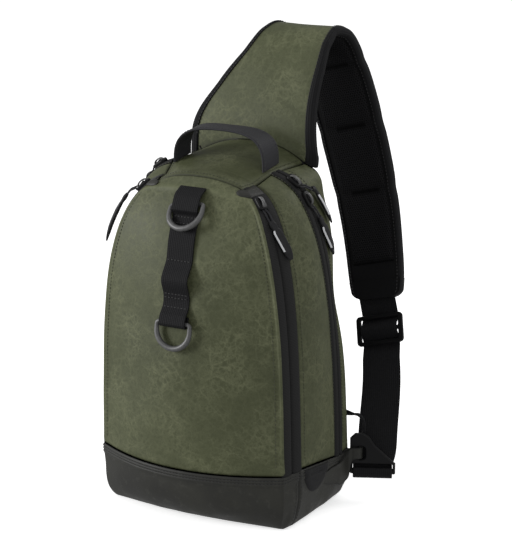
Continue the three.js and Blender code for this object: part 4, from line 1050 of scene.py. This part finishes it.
away = np.abs(web_share - SLIDER_PLACE) * web_length
pitch = SLIDER_BAR + SLIDER_SLOT
swing = np.cos(np.pi * np.minimum(away, pitch) / pitch)
fade = 1 - np.clip((away - pitch * 1.25) / pitch, 0, 1)
centre, across, normal = webbing_frame(web_t)
centre = centre + normal * ((SLIDER_PLATE / 2 + PLAY * 2.5 + WEBBING / 2) * swing * fade)[:, None]
fold = np.pi * np.linspace(0, 1, 24)[1:]
fold_centre = buckle_point(np.full(23, WEBBING_WIDTH / 2),
                           BUCKLE_BAR * 0.5 - np.sin(fold) * (BUCKLE_BAR / 2 + hook),
                           -hook * np.cos(fold))
fold_normal = buckle_out * np.cos(fold)[:, None] + [0, 0, 1.0] * np.sin(fold)[:, None]
end_centre = buckle_point([WEBBING_WIDTH / 2], [BUCKLE_BAR * 1.5], [hook])
centre = np.concatenate([centre, fold_centre, end_centre])
across = np.concatenate([across, np.tile(buckle_right, (24, 1))])
normal = np.concatenate([normal, fold_normal, -buckle_out[None]])
tucked = centre[:1] - unit(centre[1:2] - centre[:1]) * 12
centre = np.concatenate([tucked, centre])
across = np.concatenate([across[:1], across])
normal = np.concatenate([normal[:1], normal])


def flat_profile(width, thickness, count=20):
    """A flat band's section: straight faces and half-round selvedges."""
    side_angle = np.linspace(-np.pi / 2, np.pi / 2, 7)
    edge = np.stack([width / 2 - thickness / 2 + np.cos(side_angle) * thickness / 2,
                     np.sin(side_angle) * thickness / 2], -1)
    line = np.linspace(1, -1, count)[1:-1] * (width / 2 - thickness / 2)
    top = np.stack([line, np.full(count - 2, thickness / 2)], -1)
    return np.concatenate([edge, top, -edge, -top])


def carry(profile, centre, across, normal):
    """A profile carried along a path: across times its first number, normal times its second."""
    rings = (centre[:, None] + profile[None, :, :1] * across[:, None]
             + profile[None, :, 1:] * normal[:, None])
    return close_loft(rings)


make_grid("strap_webbing", carry(flat_profile(WEBBING_WIDTH, WEBBING), centre, across, normal),
          webbing_finish, ["strap_webbing"])

# Strap slider and anchor buckle: moulded black plastic. The webbing runs through the slider's two
# slots, and the buckle hangs in the wing with its bar in the webbing's fold.
plastic_finish = Finish("black_plastic", Roughness=0.4, Specular_IOR_Level=0.2)
where = plastic_finish.place()
mould = plastic_finish.noise(where, 1600.0, 2.0)
smear = plastic_finish.noise(where, 60.0, 5.0, 0.6)
plastic_finish.paint(smear, (9, 9, 10), (18, 18, 19))
plastic_finish.feed("Roughness", 0.36 + smear * 0.18)
plastic_finish.relief(mould, 0.12, 0.0002)
for name in ("strap_slider", "anchor_buckle"):
    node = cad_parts[name]
    node.material_slots[0].material = plastic_finish.material

# Anchor wing, side tab and loop: dark grey cloth tongue folded through the buckle's eye, a small
# half-round patch sewn in front of it, and a thin webbing loop from the back panel.
WING_HEIGHT, WING_CLOTH = 26.0, 3.0


def boot_side(station, up):
    """The boot's right side at a station and a share of its height."""
    return boot_wall(side_surface(station, np.zeros(np.shape(station))), up)


wing_finish = Finish("dark_cloth", Roughness=0.75, Specular_IOR_Level=0.2)
where = wing_finish.place()
fuzz = wing_finish.noise(where, 420.0, 5.0, 0.6)
cloud = wing_finish.noise(where, 40.0, 3.0)
wing_finish.paint(fuzz * 0.6 + cloud * 0.3, (18, 18, 19), (46, 46, 47))
wing_finish.relief(fuzz, 0.4, 0.0005)

EYE_LEFT, EYE_RIGHT, EYE_LOW, EYE_HIGH = 3.5, 12.0, 14.5, 28.0
bar_off = BUCKLE_PLATE / 2 + PLAY + WING_CLOTH / 2
eye_middle = (EYE_LEFT + EYE_RIGHT) / 2
wing_turn = eye_middle - EYE_LEFT * 0.45
tongue = (EYE_LOW + PLAY * 4, EYE_HIGH - PLAY * 2)
WING_LEVELS = 13
levels = np.linspace(0, 1, WING_LEVELS)
# On the boot: station, how far it stands off and share of its height. Then, in the buckle's
# frame: right, out, low and high, on through the eye and back.
WING_START = [(1.62, -2.0, 0.3), (1.8, -0.6, 0.62), (2.02, 0.9, 0.84), (2.35, 1.8, 1.0)]
WING_STOPS = [
    (-5.4, bar_off + 2.4, -1.5, 25), (-1.5, bar_off, EYE_LOW - 2.5, EYE_HIGH - 1),
    (2, bar_off, *tongue), (wing_turn, BUCKLE_PLATE / 2 + 0.9, *tongue),
    (eye_middle, 0, *tongue), (wing_turn, -BUCKLE_PLATE / 2 - 0.9, *tongue),
    (2, -bar_off, *tongue), (-1.5, -bar_off, *tongue),
]
wing_rows = []
for station, stand, tall in WING_START:
    ups = 0.66 + (levels - 0.5) * tall * WING_HEIGHT / BOOT_HEIGHT
    wing_rows.append(boot_side(np.full(WING_LEVELS, station), ups) + [stand, 0, 0])
for right, out, low, high in WING_STOPS:
    wing_rows.append(buckle_point(np.full(WING_LEVELS, right), mix(low, high, levels),
                                  np.full(WING_LEVELS, out)))
wing_rows = np.array(wing_rows)
fine = np.linspace(0, 1, 90)
wing_mid = np.stack([spline(wing_rows[:, k], fine) for k in range(WING_LEVELS)], 1)
wing_way = unit(np.gradient(wing_mid[:, WING_LEVELS // 2], axis=0) * [1, 1, 0])
wing_out = np.cross(wing_way, [0, 0, 1.0])
edge = np.exp(-np.minimum(levels, 1 - levels) / 0.06)
swell = WING_CLOTH / 2 * (1 + 0.15 * edge)
wing_front = wing_mid + wing_out[:, None] * swell[None, :, None]
wing_back = wing_mid - wing_out[:, None] * swell[None, :, None]
# Painted shade along the wing's folded edges, carried as its seam mark.
wing_edge_shade = np.tile(np.concatenate([edge, edge[::-1], edge[:1]]) * 0.7, (len(fine) + 2, 1))
make_grid("anchor_wing", close_loft(np.concatenate([wing_front, wing_back[:, ::-1]], 1)),
          boot_finish, ["anchor_wing"], marks={"seam": wing_edge_shade})

round_u, round_v = np.meshgrid(np.linspace(0, 1, 30), np.linspace(0, 1, 30))
angle = np.pi * round_u
tab_station = 1.39 + 0.33 * np.cos(angle) * round_v
tab_up = 0.99 - 0.47 * np.sin(angle) * round_v
tab_grid = boot_side(tab_station, tab_up)
tab_edge = 1 - np.exp(-(1 - round_v) * 12)
tab_grid[..., 0] += 0.2 + 2.4 * tab_edge
make_grid("side_tab_right", tab_grid, wing_finish, ["side_tab_right"])

LOOP_STOPS = np.array([[0, 58.5, 0.75], [5, 57.5, 1], [9, 53, 1], [10.5, 47, 1], [10, 41, 1],
                       [8, 36, 1.0]])
LOOP_WIDTH, LOOP_CLOTH = 6.5, 2.4
loop_out = -BUCKLE_PLATE / 2 - 0.3 - LOOP_WIDTH / 2
loop_rises = np.linspace(0, 0.4, 400)
loop_rise = np.interp(BOOT_HEIGHT * 1.6, back_surface(0.85, loop_rises)[:, 2], loop_rises)
loop_start = back_surface(np.array([0.84, 0.93]), np.full(2, loop_rise)) + [0, 2.2, 0]
loop_path = np.concatenate([loop_start, buckle_point(LOOP_STOPS[:, 0], LOOP_STOPS[:, 1],
                                                     np.full(6, loop_out))])
fine = np.linspace(0, 1, 90)
loop_centre = spline(loop_path, fine)
loop_way = unit(np.gradient(loop_centre, axis=0))
twist = np.interp(fine, np.linspace(0, 1, 8), [0, 0, *LOOP_STOPS[:, 2]]) * np.pi / 2
loop_across = (np.cos(twist)[:, None] * [0, 0, 1.0] + np.sin(twist)[:, None] * buckle_out)
loop_across = square_to(loop_across, loop_way)
make_grid("anchor_loop", carry(flat_profile(LOOP_WIDTH, LOOP_CLOTH), loop_centre, loop_across,
                               np.cross(loop_way, loop_across)),
          webbing_finish, ["anchor_loop"])

# Carrying handle: webbing folded double and bent over the top panel, its feet sewn down beside the
# zips and its edges stitched.
HANDLE_WIDTH, HANDLE_SPAN, HANDLE_RISE, HANDLE_CLOTH = 25.0, 96.0, 33.0, 2.2
handle_depth = SIDE_DEPTH * 0.58


def top_height(x, y):
    """Height of the top panel over a place, read off a fine net of it."""
    alongs = np.linspace(0, 1, 400)
    edge = side_surface(alongs * 4, np.ones(400))[:, 0]
    line = top_surface(x / edge, alongs)
    return float(np.interp(y, line[:, 1], line[:, 2]))


handle_x = HANDLE_SPAN / 2 - HANDLE_CLOTH / 2
handle_foot = top_height(handle_x, handle_depth) + 0.3
handle_slope = (top_height(handle_x, handle_depth + HANDLE_WIDTH / 2)
                - top_height(handle_x, handle_depth - HANDLE_WIDTH / 2)) / HANDLE_WIDTH
# The handle's path is half a superellipse; its band tilts with the top panel at the feet
HANDLE_STEPS, HANDLE_ROUNDING = 120, 2 / 3.2
angle = np.pi * np.linspace(0, 1, HANDLE_STEPS)
bend_cos = keep_sign(np.cos(angle), HANDLE_ROUNDING)
bend_sin = np.clip(np.sin(angle), 0, 1) ** HANDLE_ROUNDING
handle_centre = np.stack([-HANDLE_SPAN / 2 * bend_cos, np.full(HANDLE_STEPS, handle_depth),
                          handle_foot + HANDLE_RISE * bend_sin], -1)
handle_way = unit(np.gradient(handle_centre, axis=0))
handle_across = np.stack([np.zeros(HANDLE_STEPS), np.ones(HANDLE_STEPS),
                          handle_slope * np.abs(np.cos(angle))], -1)
handle_normal = unit(np.cross(np.array([0, 1.0, 0]), handle_way))
handle_profile = flat_profile(HANDLE_WIDTH, HANDLE_CLOTH)
handle_finish = Finish("handle_webbing", Roughness=0.65, Specular_IOR_Level=0.25)
across, down = handle_finish.along()
rib = (across * 3600.0).math("SINE") * 0.5 + 0.5
fuzz = handle_finish.noise(handle_finish.place(), 700.0, 4.0)
handle_finish.paint(rib * 0.4 + fuzz * 0.35, (27, 27, 29), (60, 60, 64))
handle_finish.relief(rib, 0.4, 0.0005)
# The feet flare by a fifth
handle_across = handle_across * (1 + 0.2 * np.abs(np.cos(angle)) ** 3)[:, None]
make_grid("handle", carry(handle_profile, handle_centre, handle_across, handle_normal),
          handle_finish, ["handle"])
handle_rows = [(handle_centre + handle_across * place + handle_normal * sign * 1.15,
                handle_normal * sign) for place in (-10.0, 10.0) for sign in (1, -1)]
make_stitches("handle_stitching", handle_rows, thread_finish)

# Front webbing: a ladder of loops sewn down the middle of the front panel, with a ring hanging in
# its first loop and in the fold at its lower end.
FRONT_WEBBING_WIDTH, RING_WIRE, RING_WIDTH, RING_DROP = 28.0, 4.0, 39.0, 25.5
FRONT_ROWS = np.array([
    [0.925, 0.0], [0.918, 0.9], [0.909, 1.7], [0.888, 1.8], [0.872, 1.55], [0.864, 0.8],
    [0.856, 0.2], [0.84, 0.1], [0.818, 0.3], [0.784, 0.25], [0.737, 0.06], [0.69, 1.6],
    [0.646, 0.1], [0.618, 0.06], [0.604, 0.7], [0.594, 1.3],
])
LOWER_BAR_UP, UPPER_BAR_UP = 0.5745, 0.8835
loop_radius = RING_WIRE / 2 + PLAY * 1.5 + WEBBING / 2
tack_off = 0.3 + WEBBING / 2
net_rises = np.linspace(0, 1, 2000)
net_line = front_surface(0.0, net_rises)


def off_front(height, off):
    """A point off the middle line of the front panel at a height."""
    height, off = np.broadcast_arrays(np.asarray(height, float), np.asarray(off, float))
    depth = np.interp(height, net_line[:, 2], net_line[:, 1])
    return np.stack([height * 0, depth - off, height], -1)


lower_bar = off_front(LOWER_BAR_UP * BACK_HEIGHT, tack_off + loop_radius)
upper_bar = off_front(UPPER_BAR_UP * BACK_HEIGHT, RING_WIRE * 0.85)
stops = np.concatenate([
    off_front(FRONT_ROWS[:, 0] * BACK_HEIGHT, tack_off + FRONT_ROWS[:, 1] * RING_WIRE),
    (lower_bar + [0, -loop_radius, 0])[None],
])
around = np.pi * np.linspace(0, 1, 20)[1:]
front_path = np.concatenate([
    spline(stops, np.linspace(0, 1, 260)),
    lower_bar + np.stack([around * 0, -loop_radius * np.cos(around),
                          -loop_radius * np.sin(around)], -1),
    off_front(LOWER_BAR_UP * BACK_HEIGHT + FRONT_WEBBING_WIDTH * 0.2, tack_off)[None],
])
way = unit(np.gradient(front_path, axis=0))
front_across = np.tile([1.0, 0, 0], (len(front_path), 1))
front_off = np.cross(way, front_across)
make_grid("front_webbing", carry(flat_profile(FRONT_WEBBING_WIDTH, WEBBING), front_path,
                                 front_across, front_off),
          webbing_finish, ["front_webbing"])
tack_rows = []
for height in (0.921, 0.852, 0.836, 0.74, 0.728, 0.65, 0.64, 0.615):
    line = off_front(np.full(30, height * BACK_HEIGHT), tack_off + WEBBING / 2 + 0.9)
    line[:, 0] = np.linspace(-12.5, 12.5, 30)
    tack_rows.append((line, np.tile([0, -1.0, 0.1], (30, 1))))
make_stitches("front_webbing_stitching", tack_rows, thread_finish)

# Rings: two cast D-rings in a dark gunmetal finish. The upper one rests on the loop below it and
# the lower one hangs down the panel; each swings about its straight bar.
ring_finish = Finish("gunmetal", Roughness=0.5, Metallic=0.6)
where = ring_finish.place()
cast = ring_finish.noise(where, 300.0, 4.0, 0.6)
ring_finish.paint(cast, (74, 74, 74), (110, 110, 110))
ring_finish.feed("Roughness", 0.45 + cast * 0.15)
ring_finish.relief(cast, 0.08, 0.0002)
# The bow's wire grows by BOW_SWELL below the straight bar, whose corners are rounded
BOW_SWELL = 0.7
ring_turn = RING_DROP - RING_WIDTH / 2
bow = RING_WIDTH / 2 - RING_WIRE / 2
corner = 2.6
corner_angle = np.linspace(0, np.pi / 2, 10)
half_outline = np.concatenate([
    np.stack([np.linspace(0, bow - corner, 16), np.zeros(16)], -1),
    np.stack([bow - corner + corner * np.sin(corner_angle),
              -corner + corner * np.cos(corner_angle)], -1)[1:],
    np.stack([np.full(6, bow), np.linspace(-corner, -ring_turn, 6)], -1)[1:],
    np.stack([bow * np.cos(np.linspace(0, np.pi / 2, 30)),
              -ring_turn - bow * np.sin(np.linspace(0, np.pi / 2, 30))], -1)[1:],
])
ring_line = np.concatenate([half_outline, (half_outline * [-1, 1])[::-1][1:-1]])
RINGS = [("d_ring_upper", "upper_ring", upper_bar, 37, 7, -0.5),
         ("d_ring_lower", "lower_ring", lower_bar, 7, 0, 0.0)]
for name, body, bar, lean, roll, slip in RINGS:
    lean, roll = np.radians(lean), np.radians(roll)
    right = np.array([np.cos(roll), 0, np.sin(roll)])
    up = np.array([-np.sin(roll) * np.cos(lean), np.sin(lean), np.cos(roll) * np.cos(lean)])
    flat = np.cross(right, up)
    closed = np.concatenate([ring_line[-1:], ring_line, ring_line[:1]])
    way = unit(closed[2:] - closed[:-2])
    wire_angle = np.linspace(0, 2 * np.pi, 19)
    outward = np.stack([way[:, 1], -way[:, 0]], -1)
    radius = RING_WIRE / 2 + BOW_SWELL * np.clip(-ring_line[:, 1] / (RING_DROP * 0.6), 0, 1) ** 1.5
    line = ring_line - outward * (radius - RING_WIRE / 2)[:, None]
    centre = bar + right * slip + line[:, :1] * right + line[:, 1:] * up
    side_way = outward[:, :1] * right + outward[:, 1:] * up
    grid = (centre[:, None] + radius[:, None, None]
            * (np.cos(wire_angle)[None, :, None] * side_way[:, None]
               + np.sin(wire_angle)[None, :, None] * flat))
    grid = np.concatenate([grid, grid[:1]])
    make_grid(name, grid, ring_finish, [name], body=body)

# Zip sliders and pulls: black metal sliders with a raised bridge, and pulls of folded tape with a
# moulded grip and a narrow light strip down the grip: reflective tape, laid on the grip's side
# towards the camera, so that it is partly a painted highlight.
SLIDER_WIDTH, SLIDER_LENGTH, SLIDER_HEIGHT, SLIDER_GROWN = 8.0, 13.0, 4.0, 1.2
PULL_CORD, PULL_GRIP, PULL_GRIP_DEPTH = 2.5, 9.0, 5.0
# Name, side, three stations and three heights from slider to tip, how far the grip stands off
# at its middle and tip, and how far its bright strip is turned round it, in degrees
ZIP_PULLS = [
    ("front_right", 1, [0.3, 0.45, 0.98], [0.893, 0.84, 0.75], [0.42, 0.5], 35),
    ("main_right_1", 1, [2.5, 3.2, 3.7], [0.93, 0.9, 0.8], [0.5, 0.42], 60),
    ("main_right_2", 1, [2.5, 2.75, 3.35], [0.885, 0.84, 0.72], [0.42, 0.42], 60),
    ("front_left", -1, [0.5, 0.8, 1.15], [0.9, 0.872, 0.725], [0.9, 1.7], 0),
    ("main_left_1", -1, [2.5, 3.3, 3.5], [0.935, 0.885, 0.76], [0.5, 0.42], 0),
    ("main_left_2", -1, [2.5, 2.45, 2.5], [0.89, 0.83, 0.7], [0.37, 0.37], 0),
]
pull_finish = Finish("pull_tape", Roughness=0.55, Specular_IOR_Level=0.25)
smear = pull_finish.noise(pull_finish.place(), 240.0, 4.0)
pull_finish.paint(smear, (17, 17, 18), (34, 34, 36))
pull_finish.relief(pull_finish.noise(pull_finish.place(), 1500.0, 2.0), 0.2, 0.0003)
# Reflective tape and a painted highlight in one: a near-white strip on the grip.
shine_finish = Finish("tape_and_painted_highlight", Roughness=0.35)
beads = shine_finish.noise(shine_finish.place(), 1500.0, 2.0)
shine_finish.paint(beads, (205, 207, 210), (240, 241, 243))


def side_frame(hand, station, height):
    """A place on a side of the bag at a station and a height, with the ways up it and off it."""
    surface = side_surface if hand > 0 else left_surface
    rises = np.linspace(0, 1, 1500)
    station, height = np.broadcast_arrays(np.asarray(station, float), np.asarray(height, float))
    lines = side_surface(station[:, None], rises[None])[..., 2]
    rise = np.array([np.interp(h, line, rises) for h, line in zip(height, lines)])
    point = surface(station, rise)
    up = unit(surface(station, np.minimum(rise + 0.02, 1)) - surface(station,
                                                                     np.maximum(rise - 0.02, 0)))
    along = surface(station + 0.2, rise) - surface(station - 0.2, rise)
    return point, up, unit(np.cross(along, up)) * hand


def rounded_bar(centre, right, up, out, width, length, height, power=0.5, count=18):
    """A rounded slab: a superellipsoid, its sines and cosines raised to a power below one."""
    phi, theta = np.meshgrid(np.linspace(-np.pi / 2, np.pi / 2, count),
                             np.linspace(0, 2 * np.pi, 2 * count + 1), indexing="ij")
    level = keep_sign(np.cos(phi), power)
    x = level * keep_sign(np.cos(theta), power) * width / 2
    y = level * keep_sign(np.sin(theta), power) * length / 2
    z = keep_sign(np.sin(phi), power) * height / 2
    return centre + x[..., None] * right + y[..., None] * up + z[..., None] * out


# Points along a pull: the cord's end, the grip's start, and the strip's run. The core is a box
# inside the bag that the pulls' backs face.
CORD_END, GRIP_START, STRIP_RUN = 24, 20, slice(33, 66)
CORE_LOW, CORE_HIGH = [-56, 45, 52], [56, 85, 270]
for name, hand, stations, ups, stands, strip_turn in ZIP_PULLS:
    heights = np.array(ups) * BACK_HEIGHT
    point, up, out = (value[0] for value in side_frame(hand, stations[:1], heights[:1]))
    right = np.cross(up, out)
    seat = point + out * (0.3 + SLIDER_HEIGHT / 2)
    body_grid = rounded_bar(seat, right, up, out, SLIDER_WIDTH * SLIDER_GROWN,
                            SLIDER_LENGTH * SLIDER_GROWN, SLIDER_HEIGHT * SLIDER_GROWN)
    bridge_angle = np.linspace(0, np.pi, 24)
    bridge_centre = (seat + up * (np.cos(bridge_angle) * 5.4)[:, None]
                     + out * (np.sin(bridge_angle) * 3.0 + 1.4)[:, None])
    bridge_way = unit(np.gradient(bridge_centre, axis=0))
    bridge_grid = carry(flat_profile(3.2, 1.5, 6), bridge_centre, np.tile(right, (24, 1)),
                        np.cross(bridge_way, right))
    make_grid(f"zip_slider_{name}", body_grid, plastic_finish,
              [f"zip_slider_{name}"])
    make_grid(f"zip_bridge_{name}", bridge_grid, ring_finish)

    start = seat - up * (SLIDER_LENGTH / 2 + PULL_CORD * 0.42 + 0.3)
    step_t = np.linspace(0.5, 2, 10)
    station = np.interp(step_t, [0, 1, 2], stations)
    height = np.interp(step_t, [0, 1, 2], heights)
    off = np.interp(step_t, [0, 1, 2], [SLIDER_HEIGHT / 2, stands[0] * PULL_GRIP,
                                        stands[1] * PULL_GRIP])
    place_on, _, way_out = side_frame(hand, station, height)
    trail = np.concatenate([start[None], place_on + way_out * off[:, None]])
    fine = np.linspace(0, 1, 400)
    path = spline(trail, fine)
    walked = walk(path)
    even = np.interp(np.linspace(0, 1, 80), walked / walked[-1], fine)
    centre = spline(trail, even)
    centre = np.concatenate([(seat + up * 2.0 + out * 2.4)[None], centre])
    tangent = unit(np.gradient(centre, axis=0))
    inward = unit(np.clip(centre, CORE_LOW, CORE_HIGH) - centre)
    pull_across = unit(np.cross(tangent, inward))
    pull_out = unit(np.cross(tangent, pull_across))
    pull_out = pull_out * np.sign((pull_out * -inward).sum(1, keepdims=True))
    run = np.append(0, np.linspace(0, 1, 80))
    wide = np.interp(run, [0, 0.24, 0.3, 0.34, 0.38, 0.46, 0.8, 0.92, 1.0],
                     [0.5, 0.5, 0.75, 0.75, 0.6, 1.0, 1.0, 0.8, 0.4]) * PULL_GRIP / 2
    thick = np.interp(run, [0, 0.24, 0.3, 0.36, 0.5, 0.85, 1.0],
                      [0.6, 0.6, 0.8, 0.6, 0.8, 0.75, 0.35])
    thick = thick * PULL_GRIP_DEPTH / 2
    angle = np.linspace(0, 2 * np.pi, 24, endpoint=False)
    round_cos, round_sin = keep_sign(np.cos(angle), 0.6), keep_sign(np.sin(angle), 0.6)
    rings = (centre[:, None] + pull_across[:, None] * (wide[:, None] * round_cos)[..., None]
             + pull_out[:, None] * (thick[:, None] * round_sin)[..., None])
    make_grid(f"zip_pull_{name}", close_loft(rings[GRIP_START:]), pull_finish,
              [f"zip_pull_{name}"])
    # The cord runs up one side of the pull's path and down the other, wide in the middle
    opening = 1.7 * np.sin(np.pi * np.linspace(0.12, 0.85, CORD_END)) ** 0.6
    eye, spine = pull_across[:CORD_END] * opening[:, None], centre[:CORD_END]
    cord = np.concatenate([(spine + eye)[::-1], spine - eye])
    cord_way = unit(np.gradient(cord, axis=0))
    cord_out = pull_out[:CORD_END]
    cord_out = square_to(np.concatenate([cord_out[::-1], cord_out]), cord_way)
    ring = np.linspace(0, 2 * np.pi, 10, endpoint=False)
    make_grid(f"zip_pull_cord_{name}",
              carry(np.stack([np.cos(ring), np.sin(ring)], -1) * 0.8, cord,
                    np.cross(cord_way, cord_out), cord_out), handle_finish)
    # The strip lies on the grip, turned round it from its outer face towards the front right, the
    # side
    # that faces the camera: it is partly a painted highlight.
    aside, off_grip = pull_across[STRIP_RUN], pull_out[STRIP_RUN]
    strip_turn = np.radians(strip_turn)
    facing = aside * np.sign((aside * [0.5, -0.85, 0]).sum(1))[:, None]
    strip_out = facing * np.sin(strip_turn) + off_grip * np.cos(strip_turn)
    strip_centre = (centre[STRIP_RUN] + strip_out * 0.15
                    + facing * (wide[STRIP_RUN, None] * np.sin(strip_turn) ** 0.6)
                    + off_grip * (thick[STRIP_RUN, None] * np.cos(strip_turn) ** 0.6))
    strip_across = unit(np.cross(tangent[STRIP_RUN], strip_out))
    make_grid(f"zip_pull_strip_{name}",
              carry(flat_profile(1.8, 0.5, 6), strip_centre, strip_across, strip_out),
              shine_finish)
